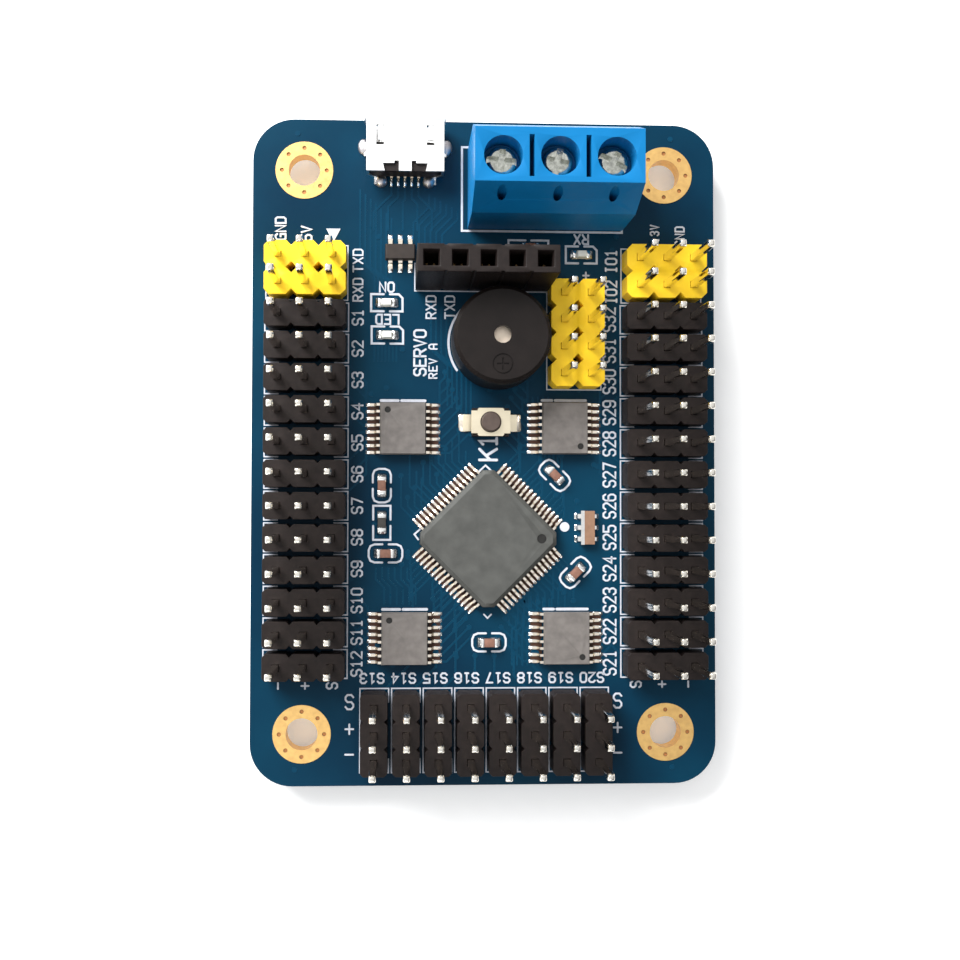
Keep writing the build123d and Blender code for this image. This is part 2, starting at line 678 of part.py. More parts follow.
def microcontroller_leads():
    lead = gull_wing(0.8, 1.0, 0.22)
    return [MCU_PLACE * s for s in chip_leads(lead, 5.0, 16, 0.5, (0, 90, 180, 270))]


def shift_register_body(index):
    body = moulded_body(4.4, 5.0, 1.0, dimple=(-1.45, 1.75, 0.3))
    return on_top(*REGISTER_PLACES[index]) * body


def shift_register_leads():
    leads = chip_leads(gull_wing(0.6, 1.0, 0.24), 2.2, 8, 0.65, (0, 180))
    return [on_top(*place) * lead for place in REGISTER_PLACES for lead in leads]


def memory_chip_body():
    return MEMORY_PLACE * moulded_body(1.6, 2.9, 1.1)


def memory_chip_leads():
    leads = chip_leads(gull_wing(0.65, 0.65, 0.38), 0.8, 3, 0.95, (0, 180))
    return [MEMORY_PLACE * lead for lead in leads]


# ------------------------------------------------------------------ small two-ended parts
def two_ended(length, width, height):
    """The middle of a chip part and its two metal end caps, lying along X."""
    middle = block(length - 2 * END_CAP_LENGTH, width - 0.04, 0.02, height - 0.02)
    cap = block(END_CAP_LENGTH, width, 0, height)
    reach = (length - END_CAP_LENGTH) / 2
    return middle, [Pos(side * reach, 0, 0) * cap for side in (-1, 1)]


CAPACITOR_PARTS = two_ended(SMALL_LENGTH, SMALL_WIDTH, 0.8)
RESISTOR_PARTS = two_ended(SMALL_LENGTH, SMALL_WIDTH, 0.45)
LED_PARTS = two_ended(SMALL_LENGTH, SMALL_WIDTH, 0.28)
BULK_PARTS = two_ended(3.2, 1.6, 1.25)


def small_part_places():
    """Every two-ended part with the place where it sits."""
    parts = [(CAPACITOR_PARTS, on_top(*p)) for p in CAPACITOR_PLACES]
    parts += [(RESISTOR_PARTS, on_top(*p)) for p in RESISTOR_PLACES]
    parts += [(RESISTOR_PARTS, underneath(*p)) for p in UNDER_RESISTOR_PLACES]
    parts += [(LED_PARTS, on_top(*p)) for p in LED_PLACES]
    parts += [(BULK_PARTS, underneath(*p)) for p in UNDER_CAPACITOR_PLACES]
    return parts


def middles(kinds):
    return [place * part[0] for part, place in small_part_places() if part in kinds]


def ceramic_capacitors():
    return middles([CAPACITOR_PARTS, BULK_PARTS])


def chip_resistors():
    return middles([RESISTOR_PARTS])


def led_bases():
    return middles([LED_PARTS])


def chip_end_caps():
    return [place * cap for part, place in small_part_places() for cap in part[1]]


def led_lenses():
    """Clear rectangular lenses, drawn in towards the top."""
    lens = extrude(Rectangle(0.95, 0.72), amount=0.4, taper=10)
    return [on_top(*place) * Pos(0, 0, 0.28) * lens for place in LED_PLACES]


def resonator():
    width, length, height = RESONATOR_SIZE
    return on_top(RESONATOR_X, RESONATOR_Y) * block(width, length, 0.02, height)


# ------------------------------------------------------------------ packages under the board
def regulator_bodies():
    body = moulded_body(2.5, 4.5, 1.4, standoff=0.05)
    return [underneath(*place) * body for place in REGULATOR_PLACES]


def driver_body():
    return underneath(*DRIVER_PLACE) * moulded_body(1.3, 2.9, 0.95)


def under_package_leads():
    """Flat tabs of the two regulators and bent leads of the buzzer's driver transistor."""
    low, high = 0.0, 0.35
    regulator = [block(0.9, 0.42, low, high, 1.25 + 0.45, y) for y in row(3, 1.5)]
    regulator.append(block(0.7, 1.7, low, high, -1.25 - 0.35, 0))
    lead = gull_wing(0.575, 0.55, 0.4)
    driver = [Pos(0.65, y, 0) * lead for y in row(2, 1.9)]
    driver.append(Rot(0, 0, 180) * Pos(0.65, 0, 0) * lead)
    leads = [underneath(*place) * s for place in REGULATOR_PLACES for s in regulator]
    return leads + [underneath(*DRIVER_PLACE) * s for s in driver]


# ------------------------------------------------------------------ every node
def sub_parts():
    parts = {
        "circuit_board": circuit_board(),
        "mounting_hole_rims": mounting_hole_rims(),
        "solder_joints": solder_joints(),
        "usb_shell": usb_shell(),
        "usb_insulator": usb_insulator(),
        "usb_contacts": usb_contacts(),
        "terminal_housing": terminal_housing(),
        "buzzer_case": buzzer_case(),
        "buzzer_base": buzzer_base(),
        "buzzer_pins": buzzer_pins(),
        "buzzer_yoke": buzzer_yoke(),
        "buzzer_coil": buzzer_coil(),
        "buzzer_magnet": buzzer_magnet(),
        "buzzer_diaphragm": buzzer_diaphragm(),
        "reset_button_base": reset_button_base(),
        "reset_button_cover": reset_button_cover(),
        "reset_button_terminals": reset_button_terminals(),
        "reset_button_dome": reset_button_dome(),
        "reset_button_plunger": reset_button_plunger(),
        "module_socket_housing": socket_housing(),
        "module_socket_contacts": socket_contacts(),
        "serial_header_housing": two_strips(-SIDE_BANK_X, SIGNAL_HEADER_Y, 3, 2),
        "serial_header_pins": header_pins(SERIAL_PINS),
        "io_header_housing": two_strips(SIDE_BANK_X, SIGNAL_HEADER_Y, 3, 2),
        "io_header_pins": header_pins(IO_PINS),
        "power_header_housing": two_strips(POWER_HEADER_X, POWER_HEADER_Y, 2, 4),
        "power_header_pins": header_pins(POWER_PINS),
        "microcontroller_body": microcontroller_body(),
        "microcontroller_leads": microcontroller_leads(),
        "shift_register_leads": shift_register_leads(),
        "memory_chip_body": memory_chip_body(),
        "memory_chip_leads": memory_chip_leads(),
        "resonator": resonator(),
        "led_bases": led_bases(),
        "led_lenses": led_lenses(),
        "ceramic_capacitors": ceramic_capacitors(),
        "chip_resistors": chip_resistors(),
        "chip_end_caps": chip_end_caps(),
        "regulator_bodies": regulator_bodies(),
        "buzzer_driver_body": driver_body(),
        "under_package_leads": under_package_leads(),
    }
    for bank in ("left", "right", "lower"):
        parts[f"{bank}_servo_header_housings"] = servo_housings(bank)
        parts[f"{bank}_servo_header_pins"] = header_pins(servo_pins(bank))
    for i, (x, angle) in enumerate(zip(TERMINAL_POLES, SCREW_ANGLES), start=1):
        parts[f"terminal_screw_{i}"] = terminal_screw(x, angle)
        parts[f"terminal_cage_{i}"] = terminal_cage(x)
        parts[f"terminal_contact_{i}"] = terminal_contact(x)
    for i in range(len(REGISTER_PLACES)):
        parts[f"shift_register_body_{i + 1}"] = shift_register_body(i)
    return parts


def solids_of(shape):
    """Every solid of a shape, or of a list of shapes."""
    shapes = shape if isinstance(shape, list) else [shape]
    return [solid for one in shapes for solid in one.solids()]


def main():
    os.makedirs("parts", exist_ok=True)
    for name, shape in sub_parts().items():
        export_step(Compound(solids_of(shape)), f"parts/{name}.step")


main()
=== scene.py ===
import itertools
import math
import random

import bpy
import numpy as np
from mathutils import Matrix, Vector


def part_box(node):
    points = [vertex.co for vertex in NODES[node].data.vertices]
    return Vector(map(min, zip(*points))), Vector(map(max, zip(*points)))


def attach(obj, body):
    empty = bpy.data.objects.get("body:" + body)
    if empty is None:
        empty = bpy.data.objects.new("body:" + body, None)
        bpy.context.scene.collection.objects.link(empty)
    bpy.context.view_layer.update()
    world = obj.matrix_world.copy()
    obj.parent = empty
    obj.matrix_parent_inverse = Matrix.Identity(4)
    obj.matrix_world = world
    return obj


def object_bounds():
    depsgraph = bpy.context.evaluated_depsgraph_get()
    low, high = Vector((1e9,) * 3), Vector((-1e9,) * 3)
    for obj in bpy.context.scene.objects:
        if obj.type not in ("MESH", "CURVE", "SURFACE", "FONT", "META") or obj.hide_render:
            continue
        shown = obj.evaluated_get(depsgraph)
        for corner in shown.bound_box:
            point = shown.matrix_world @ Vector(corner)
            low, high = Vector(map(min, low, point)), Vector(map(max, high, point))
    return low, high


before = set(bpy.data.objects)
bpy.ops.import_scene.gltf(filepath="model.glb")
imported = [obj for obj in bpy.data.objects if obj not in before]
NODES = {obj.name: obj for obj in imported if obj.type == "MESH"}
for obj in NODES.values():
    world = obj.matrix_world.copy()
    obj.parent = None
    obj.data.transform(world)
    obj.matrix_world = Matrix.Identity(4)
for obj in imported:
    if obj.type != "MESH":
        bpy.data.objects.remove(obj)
CAD_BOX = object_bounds()

MM = 0.001
BOARD_TOP = 1.6
PIN_PITCH = 2.54
SMALL_CHIPS = [f"shift_register_body_{i}" for i in (1, 2, 3, 4)]
YELLOW_HEADERS = ["serial_header", "io_header", "power_header"]
SERVO_HEADERS = ["left_servo_header", "right_servo_header", "lower_servo_header"]


# ---------------------------------------------------------------- procedural materials
def tint(color, factor):
    """The colour made lighter or darker, kept within range."""
    return tuple(min(1.0, c * factor) for c in color) + (1.0,)


def add_noise(tree, coord, size_mm, detail=4.0, stretch=(1, 1, 1)):
    """Noise whose features are about size_mm across; stretch lengthens them along an axis."""
    mapping = tree.nodes.new("ShaderNodeMapping")
    mapping.inputs["Scale"].default_value = tuple(1000 / size_mm / s for s in stretch)
    noise = tree.nodes.new("ShaderNodeTexNoise")
    noise.inputs["Scale"].default_value = 1.0
    noise.inputs["Detail"].default_value = detail
    tree.links.new(coord, mapping.inputs["Vector"])
    tree.links.new(mapping.outputs["Vector"], noise.inputs["Vector"])
    return noise.outputs["Fac"]


def add_ramp(tree, fac, stops):
    """A colour ramp through (position, colour) stops."""
    ramp = tree.nodes.new("ShaderNodeValToRGB")
    ramp.color_ramp.elements[0].position = stops[0][0]
    ramp.color_ramp.elements[0].color = stops[0][1]
    ramp.color_ramp.elements[1].position = stops[-1][0]
    ramp.color_ramp.elements[1].color = stops[-1][1]
    for position, color in stops[1:-1]:
        ramp.color_ramp.elements.new(position).color = color
    tree.links.new(fac, ramp.inputs["Fac"])
    return ramp.outputs["Color"]


def surface(
    name,
    color,
    rough,
    metal=0.0,
    spread=0.12,
    patch_mm=2.0,
    grain_mm=0.12,
    bump_mm=0.004,
    rough_spread=0.06,
    stretch=(1, 1, 1),
    specular=0.5,
    transmission=0.0,
):
    """A Principled material with patchy colour and gloss, and a fine bump."""
    mat = bpy.data.materials.new(name)
    mat.use_nodes = True
    tree = mat.node_tree
    shader = tree.nodes["Principled BSDF"]
    shader.inputs["Metallic"].default_value = metal
    shader.inputs["Specular IOR Level"].default_value = specular
    shader.inputs["Transmission Weight"].default_value = transmission
    coord = tree.nodes.new("ShaderNodeTexCoord").outputs["Object"]
    patches = add_noise(tree, coord, patch_mm, stretch=stretch)
    stops = [(0.3, tint(color, 1 - spread)), (0.7, tint(color, 1 + spread))]
    tree.links.new(add_ramp(tree, patches, stops), shader.inputs["Base Color"])
    grain = add_noise(tree, coord, grain_mm, detail=3.0, stretch=stretch)
    gloss = tree.nodes.new("ShaderNodeMapRange")
    gloss.inputs["From Min"].default_value = 0.3
    gloss.inputs["From Max"].default_value = 0.7
    gloss.inputs["To Min"].default_value = max(0.02, rough - rough_spread)
    gloss.inputs["To Max"].default_value = rough + rough_spread
    tree.links.new(grain, gloss.inputs["Value"])
    tree.links.new(gloss.outputs["Result"], shader.inputs["Roughness"])
    bump = tree.nodes.new("ShaderNodeBump")
    bump.inputs["Strength"].default_value = 0.6
    bump.inputs["Distance"].default_value = bump_mm * MM
    tree.links.new(grain, bump.inputs["Height"])
    tree.links.new(bump.outputs["Normal"], shader.inputs["Normal"])
    return mat


def board_surface(name, deep, light, edge):
    """Solder mask with broad patches of tone and fine speckle, and bare laminate on the cut edges."""
    mat = surface(
        name, deep, 0.34, patch_mm=9, grain_mm=0.4, bump_mm=0.0012, rough_spread=0.03, specular=0.08
    )
    tree = mat.node_tree
    shader = tree.nodes["Principled BSDF"]
    coord = tree.nodes["Texture Coordinate"].outputs["Object"]
    broad = add_noise(tree, coord, 16, detail=5.0)
    tone = add_ramp(tree, broad, [(0.34, deep + (1.0,)), (0.66, light + (1.0,))])
    fibres = add_noise(tree, coord, 0.3, detail=2.0, stretch=(6, 1, 1))
    laminate = add_ramp(tree, fibres, [(0.3, tint(edge, 0.7)), (0.7, tint(edge, 1.3))])
    normal = tree.nodes.new("ShaderNodeNewGeometry").outputs["Normal"]
    split = tree.nodes.new("ShaderNodeSeparateXYZ")
    tree.links.new(normal, split.inputs["Vector"])
    flat = tree.nodes.new("ShaderNodeMath")
    flat.operation = "ABSOLUTE"
    tree.links.new(split.outputs["Z"], flat.inputs[0])
    step = tree.nodes.new("ShaderNodeMath")
    step.operation = "GREATER_THAN"
    step.inputs[1].default_value = 0.5
    tree.links.new(flat.outputs["Value"], step.inputs[0])
    mix = tree.nodes.new("ShaderNodeMix")
    mix.data_type = "RGBA"
    tree.links.new(step.outputs["Value"], mix.inputs["Factor"])
    tree.links.new(laminate, mix.inputs["A"])
    tree.links.new(tone, mix.inputs["B"])
    tree.links.new(mix.outputs["Result"], shader.inputs["Base Color"])
    return mat


MASK = board_surface("solder_mask", (0.0012, 0.021, 0.046), (0.0020, 0.038, 0.073), (0.02, 0.08, 0.11))
TRACK = surface(
    "masked_copper", (0.0020, 0.038, 0.076), 0.32, patch_mm=3, grain_mm=0.3, bump_mm=0.001, specular=0.09
)
PRINT = surface(
    "white_print", (0.56, 0.575, 0.63), 0.6, spread=0.1, patch_mm=0.5, bump_mm=0.006, specular=0.2
)
GOLD = surface(
    "gold_plating", (0.95, 0.58, 0.21), 0.34, 1.0, 0.1, patch_mm=0.5, rough_spread=0.05, bump_mm=0.003
)
TIN = surface(
    "tinned_brass", (0.88, 0.84, 0.76), 0.1, 1.0, 0.06, patch_mm=0.5, rough_spread=0.02, bump_mm=0.001
)
LEADS = surface(
    "tinned_leads", (0.93, 0.84, 0.72), 0.2, 1.0, 0.06, patch_mm=0.3, rough_spread=0.03, bump_mm=0.001
)
SOLDER = surface(
    "solder_tin", (0.88, 0.87, 0.85), 0.22, 1.0, 0.05, patch_mm=0.5, rough_spread=0.04, bump_mm=0.004
)
OLD_SOLDER = surface("dull_solder", (0.60, 0.57, 0.58), 0.44, 1.0, 0.1, patch_mm=0.4, bump_mm=0.004)
SHELL = surface(
    "socket_shell", (0.98, 0.975, 0.96), 0.34, 1.0, 0.02,
    grain_mm=0.05, rough_spread=0.03, stretch=(1, 14, 1), bump_mm=0.0006,
)
COVER = surface(
    "button_cover", (0.90, 0.80, 0.60), 0.36, 1.0, 0.04,
    patch_mm=0.7, rough_spread=0.03, stretch=(6, 1, 1), bump_mm=0.001,
)
ZINC = surface(
    "zinc_plate", (0.50, 0.51, 0.46), 0.2, 1.0, 0.3, patch_mm=0.35, grain_mm=0.45, bump_mm=0.07
)
BLACK = surface(
    "black_nylon", (0.014, 0.0095, 0.0085), 0.5, spread=0.2, patch_mm=0.6, bump_mm=0.006, specular=0.2
)
CASE = surface(
    "buzzer_black", (0.010, 0.0073, 0.0066), 0.42, spread=0.15, patch_mm=1.5, bump_mm=0.004, specular=0.18
)
YELLOW = surface(
    "yellow_nylon", (1.0, 0.62, 0.02), 0.45, spread=0.05, patch_mm=1.2, bump_mm=0.006, specular=0.25
)
BLUE = surface(
    "blue_polyamide", (0.004, 0.157, 0.385), 0.38, spread=0.05, patch_mm=2.5, bump_mm=0.003, specular=0.14
)
EPOXY = surface(
    "black_epoxy", (0.152, 0.136, 0.126), 0.6,
    spread=0.16, patch_mm=0.8, grain_mm=0.1, bump_mm=0.01, specular=0.25,
)
MEMORY_EPOXY = surface(
    "memory_epoxy", (0.034, 0.026, 0.022), 0.5,
    spread=0.16, patch_mm=0.8, grain_mm=0.1, bump_mm=0.01, specular=0.2,
)
DARK_EPOXY = surface(
    "dark_epoxy", (0.077, 0.077, 0.071), 0.6,
    spread=0.16, patch_mm=1.3, grain_mm=0.1, bump_mm=0.01, specular=0.25,
)
MARK = surface("polished_dimple", (0.022, 0.021, 0.020), 0.35, patch_mm=0.5, specular=0.2)
CERAMIC = surface(
    "capacitor_tan", (0.22, 0.11, 0.078), 0.5, spread=0.15, patch_mm=0.3, bump_mm=0.006, specular=0.25
)
TAN = surface(
    "resonator_tan", (0.25, 0.14, 0.088), 0.48, spread=0.1, patch_mm=0.5, bump_mm=0.006, specular=0.25
)
FILM = surface("resistor_film", (0.055, 0.05, 0.045), 0.35, patch_mm=0.4, specular=0.3)
LED_BASE = surface("led_laminate", (0.88, 0.85, 0.74), 0.5, patch_mm=0.5)
LENS = surface("led_epoxy", (0.98, 0.97, 0.90), 0.2, spread=0.03, transmission=0.12, bump_mm=0.001)
DIE = surface("led_die", (0.90, 0.72, 0.15), 0.5, patch_mm=0.2)
# Bare laminate under the lead rows, painted far darker than it is: painted shade between the leads.
LAMINATE_AND_SHADE = surface(
    "laminate_painted_shade", (0.050, 0.022, 0.014), 0.5, spread=0.25, patch_mm=0.5, bump_mm=0.002, specular=0.2
)
PLUG = surface("via_plug", (0.45, 0.19, 0.065), 0.45, 0.6, 0.15, patch_mm=0.2, bump_mm=0.002)
BROWN = surface("brown_plastic", (0.085, 0.062, 0.052), 0.45, patch_mm=0.5, specular=0.25)
COPPER = surface("enamelled_copper", (0.80, 0.34, 0.12), 0.3, 0.9, grain_mm=0.06, stretch=(8, 8, 1))
# Bronze darkened well below its own brightness: painted shade for the contacts deep in the socket's holes.
SHADED_BRONZE = surface("phosphor_bronze", (0.32, 0.21, 0.10), 0.4, 1.0, patch_mm=0.5)
ROSE = surface("buzzer_disc", (1.0, 0.83, 0.68), 0.5, 1.0, patch_mm=1.0, spread=0.05, bump_mm=0.001)
MAGNET = surface("ferrite", (0.07, 0.07, 0.075), 0.6, patch_mm=0.4, bump_mm=0.01)

NODE_MATERIALS = {
    MASK: ["circuit_board"],
    GOLD: ["mounting_hole_rims"],
    SOLDER: ["solder_joints", "chip_end_caps"],
    SHELL: ["usb_shell"],
    COVER: ["reset_button_cover", "reset_button_terminals", "reset_button_dome"],
    ROSE: ["buzzer_diaphragm"],
    BLACK: ["usb_insulator", "reset_button_base", "module_socket_housing"]
    + [f"{bank}_housings" for bank in SERVO_HEADERS],
    CASE: ["buzzer_case", "buzzer_base"],
    YELLOW: [f"{header}_housing" for header in YELLOW_HEADERS],
    TIN: ["buzzer_pins"] + [f"{header}_pins" for header in YELLOW_HEADERS + SERVO_HEADERS],
    DARK_EPOXY: ["microcontroller_body"],
    LEADS: [
        "usb_contacts",
        "microcontroller_leads",
        "shift_register_leads",
        "memory_chip_leads",
        "under_package_leads",
    ],
    SHADED_BRONZE: ["module_socket_contacts"],
    BLUE: ["terminal_housing"],
    ZINC: ["buzzer_yoke"]
    + [f"terminal_{kind}_{i}" for kind in ("screw", "cage", "contact") for i in (1, 2, 3)],
    COPPER: ["buzzer_coil"],
    MAGNET: ["buzzer_magnet"],
    BROWN: ["reset_button_plunger"],
    MEMORY_EPOXY: ["memory_chip_body"],
    EPOXY: ["regulator_bodies", "buzzer_driver_body"] + SMALL_CHIPS,
    TAN: ["resonator"],
    LED_BASE: ["led_bases"],
    LENS: ["led_lenses"],
    CERAMIC: ["ceramic_capacitors"],
    FILM: ["chip_resistors"],
}
for material, names in NODE_MATERIALS.items():
    for name in names:
        for slot in NODES[name].material_slots:
            slot.material = material


def soften(node, width_mm, turn=35, segments=2):
    """Rounds a CAD node's edges that turn by more than turn degrees; its mesh stays as it is."""
    piece = NODES[node]
    weld = piece.modifiers.new("weld", "WELD")
    weld.merge_threshold = 1e-6
    bevel = piece.modifiers.new("edges", "BEVEL")
    bevel.width = width_mm * MM
    bevel.segments = segments
    bevel.limit_method = "ANGLE"
    bevel.angle_limit = math.radians(turn)
    piece.modifiers.new("normals", "WEIGHTED_NORMAL")


SOFT_EDGES = {
    0.04: [f"{bank}_housings" for bank in SERVO_HEADERS] + [f"{header}_housing" for header in YELLOW_HEADERS],
    0.07: ["module_socket_housing", "microcontroller_body"],
    0.05: ["memory_chip_body", "regulator_bodies", "buzzer_driver_body", "ceramic_capacitors"] + SMALL_CHIPS,
    0.03: ["chip_end_caps", "led_lenses", "resonator", "chip_resistors", "reset_button_terminals"],
}
for width, names in SOFT_EDGES.items():
    for name in names:
        soften(name, width)
soften("terminal_housing", 0.07, turn=18)
for header in YELLOW_HEADERS + SERVO_HEADERS:
    soften(f"{header}_pins", 0.09, turn=20)


# ---------------------------------------------------------------- mesh building, in millimetres
class Shape:
    """Closed solids gathered into one mesh."""

    def __init__(self):
        self.points = []
        self.faces = []

    def rings(self, loops):
        """A solid skinned through equal-length loops, with a flat cap at each end."""
        first = len(self.points)
        size = len(loops[0])
        for loop in loops:
            self.points += loop
        for level in range(len(loops) - 1):
            low = first + level * size
            for i in range(size):
                j = (i + 1) % size
                self.faces.append((low + i, low + j, low + size + j, low + size + i))
        self.faces.append(tuple(first + i for i in reversed(range(size))))
        last = first + (len(loops) - 1) * size
        self.faces.append(tuple(last + i for i in range(size)))

    def prism(self, outline, low, high):
        self.rings([[(x, y, low) for x, y in outline], [(x, y, high) for x, y in outline]])

    def disc(self, x, y, radius, low, high, count=28):
        self.prism(circle(x, y, radius, count), low, high)

    def ring(self, x, y, outer, inner, low, high, count=40):
        """A flat washer."""
        self.band(list(zip(circle(x, y, outer, count), circle(x, y, inner, count))), low, high, closed=True)

    def band(self, pairs, low, high, closed=False):
        """A strip between (left, right) pairs of points, given thickness."""
        first = len(self.points)
        for left, right in pairs:
            self.points += [(*left, high), (*right, high), (*right, low), (*left, low)]
        count = len(pairs)
        for i in range(count if closed else count - 1):
            a = first + 4 * i
            b = first + 4 * ((i + 1) % count)
            for k in range(4):
                m = (k + 1) % 4
                self.faces.append((a + k, b + k, b + m, a + m))
        if not closed:
            self.faces.append((first, first + 1, first + 2, first + 3))
            end = first + 4 * (count - 1)
            self.faces.append((end + 3, end + 2, end + 1, end))

    def line(self, path, width, low, high, closed=False):
        """A drawn line of even width with round ends and mitred corners."""
        points = [Vector(p) for p in path]
        half = width / 2
        count = len(points)
        pairs = []
        for i, here in enumerate(points):
            before = points[i - 1] if i or closed else None
            after = points[(i + 1) % count] if i < count - 1 or closed else None
            way_in = (here - before).normalized() if before is not None else (after - here).normalized()
            way_out = (after - here).normalized() if after is not None else way_in
            side_in = Vector((-way_in.y, way_in.x))
            side_out = Vector((-way_out.y, way_out.x))
            mitre = (side_in + side_out).normalized()
            mitre *= half / max(0.6, mitre.dot(side_in))
            pairs.append((here + mitre, here - mitre))
        if not closed:
            pairs = self.round_end(points[0], points[1], half)[::-1] + pairs
            pairs += [(b, a) for a, b in self.round_end(points[-1], points[-2], half)]
        self.band([(tuple(a), tuple(b)) for a, b in pairs], low, high, closed)

    @staticmethod
    def round_end(tip, inner, half):
        """Pairs that taper a line's end to a half circle, from its full width outwards."""
        way = (tip - inner).normalized()
        side = Vector((way.y, -way.x))
        turns = [math.radians(a) for a in (30, 55, 78)]
        return [
            (
                tip + way * half * math.sin(t) + side * half * math.cos(t),
                tip + way * half * math.sin(t) - side * half * math.cos(t),
            )
            for t in turns
        ]

    def mound(self, x, y, way, length, width, top_length, top_width, low, high):
        """A pad with sloping sides, its long axis along way."""
        loops = []
        for level in (0.0, 0.35, 0.75, 1.0):
            ease = level**0.6
            half_l = (length + (top_length - length) * ease) / 2
            half_w = (width + (top_width - width) * ease) / 2
            cut = 0.25 * min(half_l, half_w)
            z = low + (high - low) * level
            corner = [
                (half_l, half_w - cut),
                (half_l - cut, half_w),
                (-half_l + cut, half_w),
                (-half_l, half_w - cut),
                (-half_l, -half_w + cut),
                (-half_l + cut, -half_w),
                (half_l - cut, -half_w),
                (half_l, -half_w + cut),
            ]
            loops.append([(x + a * way[0] - b * way[1], y + a * way[1] + b * way[0], z) for a, b in corner])
        if high < low:
            loops = [loop[::-1] for loop in loops]
        self.rings(loops)

    def dome(self, x, y, radius_x, radius_y, low, height, count=20):
        """A blob of solder, flat underneath."""
        loops = []
        for degrees in (0, 25, 50, 72, 85):
            t = math.radians(degrees)
            c, s = math.cos(t), math.sin(t)
            loops.append(
                [
                    (x + c * radius_x * math.cos(a), y + c * radius_y * math.sin(a), low + s * height)
                    for a in (2 * math.pi * i / count for i in range(count))
                ]
            )
        self.rings(loops)

    def piece(self, name, material, slot, body="board", smooth=False):
        """Makes the Blender object and lets it ride on its body."""
        mesh = bpy.data.meshes.new(name)
        mesh.from_pydata([(x * MM, y * MM, z * MM) for x, y, z in self.points], [], self.faces)
        mesh.validate()
        mesh.update()
        made = bpy.data.objects.new(name, mesh)
        bpy.context.scene.collection.objects.link(made)
        made.data.materials.append(material)
        if smooth:
            mesh.shade_smooth()
        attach(made, body)
        return made


def circle(x, y, radius, count=28):
    turns = [2 * math.pi * i / count for i in range(count)]
    return [(x + radius * math.cos(t), y + radius * math.sin(t)) for t in turns]


def islands(node):
    """The separate solids of a CAD node, each as an array of its corners in millimetres."""
    mesh = NODES[node].data
    coords = np.empty(len(mesh.vertices) * 3)
    mesh.vertices.foreach_get("co", coords)
    coords = coords.reshape(-1, 3) / MM
    keys = {}
    same = [keys.setdefault(tuple(k), i) for i, k in enumerate(np.round(coords, 4).tolist())]
    parent = list(range(len(coords)))

    def root(i):
        while parent[i] != i:
            parent[i] = parent[parent[i]]
            i = parent[i]
        return i

    for edge in mesh.edges:
        a, b = (root(same[v]) for v in edge.vertices)
        parent[a] = b
    groups = {}
    for i in sorted(keys.values()):
        groups.setdefault(root(i), []).append(i)
    return [coords[g] for g in groups.values()]


def centre(points):
    return (points.min(axis=0) + points.max(axis=0)) / 2


def node_centre(node):
    low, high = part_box(node)
    return [(a + b) / 2 / MM for a, b in zip(low, high)]


def box_mm(node):
    """The low and high corners of a CAD node's box, in millimetres."""
    return [np.array(corner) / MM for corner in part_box(node)]


def foot(points):
    """Where a lead or end cap meets the board: middle, long direction, length, width, and which face."""
    on_top = points[:, 2].mean() > BOARD_TOP / 2
    level = points[:, 2].min() if on_top else points[:, 2].max()
    flat = points[np.abs(points[:, 2] - level) < 0.01][:, :2]
    middle = flat.mean(axis=0)
    best = None
    for degrees in (0, 45, 90, 135):
        way = np.array([math.cos(math.radians(degrees)), math.sin(math.radians(degrees))])
        along = (flat - middle) @ way
        across = (flat - middle) @ np.array([-way[1], way[0]])
        spans = (np.ptp(along), np.ptp(across))
        if best is None or spans[0] * spans[1] < best[0] - 1e-6:
            best = (spans[0] * spans[1], way, spans)
    way, (length, width) = best[1], best[2]
    if width > length:
        way, length, width = np.array([-way[1], way[0]]), width, length
    return middle, way, length, width, on_top


def lead_foot(lead):
    """The foot of a bent lead, as foot gives it, with the long direction pointing away from the package."""
    middle, way, length, width, on_top = foot(lead)
    if (middle - centre(lead)[:2]) @ way < 0:
        way = -way
    return middle, way, length, width, on_top


def pad_levels(on_top, rise):
    """Where a pad starts and ends in height, on the board's top or under it."""
    if on_top:
        low = BOARD_TOP + 0.005
        return low, low + rise
    return -0.005, -0.005 - rise


# ---------------------------------------------------------------- solder pads and fillets
FINE_LEADS = ("microcontroller_leads", "shift_register_leads")
SHORT_FOOT = 1.0
PAD_SHIFT = 0.17
WINDOW_INWARD = 0.35
WINDOW_OUTWARD = 0.2
WINDOW_MARGIN = 0.16


def lead_pads():
    """A soldered pad under every bent lead, reaching out past its toe."""
    shape = Shape()
    for node in (*FINE_LEADS, "memory_chip_leads", "under_package_leads"):
        wider = 0.07 if node == "microcontroller_leads" else 0.14
        for lead in islands(node):
            middle, way, length, width, on_top = lead_foot(lead)
            x, y = middle + way * (PAD_SHIFT if length < SHORT_FOOT else 0.0)
            bottom, top = (length + 0.5, width + wider), (length + 0.1, width - 0.02)
            shape.mound(x, y, way, *bottom, *top, *pad_levels(on_top, 0.1))
    return shape


def shaded_lead_windows():
    """Strips where the mask is left off along each row of leads, so the laminate shows; they are coloured far
    darker than bare laminate, as painted shade between the leads.
    """
    shape = Shape()
    middles = [np.array(node_centre(name)[:2]) for name in (*SMALL_CHIPS, "microcontroller_body")]
    rows = {}
    for node in FINE_LEADS:
        for lead in islands(node):
            middle, way, length, _, _ = lead_foot(lead)
            chip = int(np.argmin([np.hypot(*(middle - m)) for m in middles]))
            rows.setdefault((chip, *np.round(way).astype(int)), []).append((middle, way, length))
    for leads in rows.values():
        way, length = leads[0][1], leads[0][2]
        side = np.array([-way[1], way[0]])
        along = [middle @ side for middle, _, _ in leads]
        out = leads[0][0] @ way
        near, far = out - length / 2 - WINDOW_INWARD, out + length / 2 + WINDOW_OUTWARD
        low, high = min(along) - WINDOW_MARGIN, max(along) + WINDOW_MARGIN
        corners = [way * a + side * b for a, b in ((near, low), (far, low), (far, high), (near, high))]
        shape.prism([tuple(c) for c in corners], BOARD_TOP + 0.002, BOARD_TOP + 0.034)
    return shape


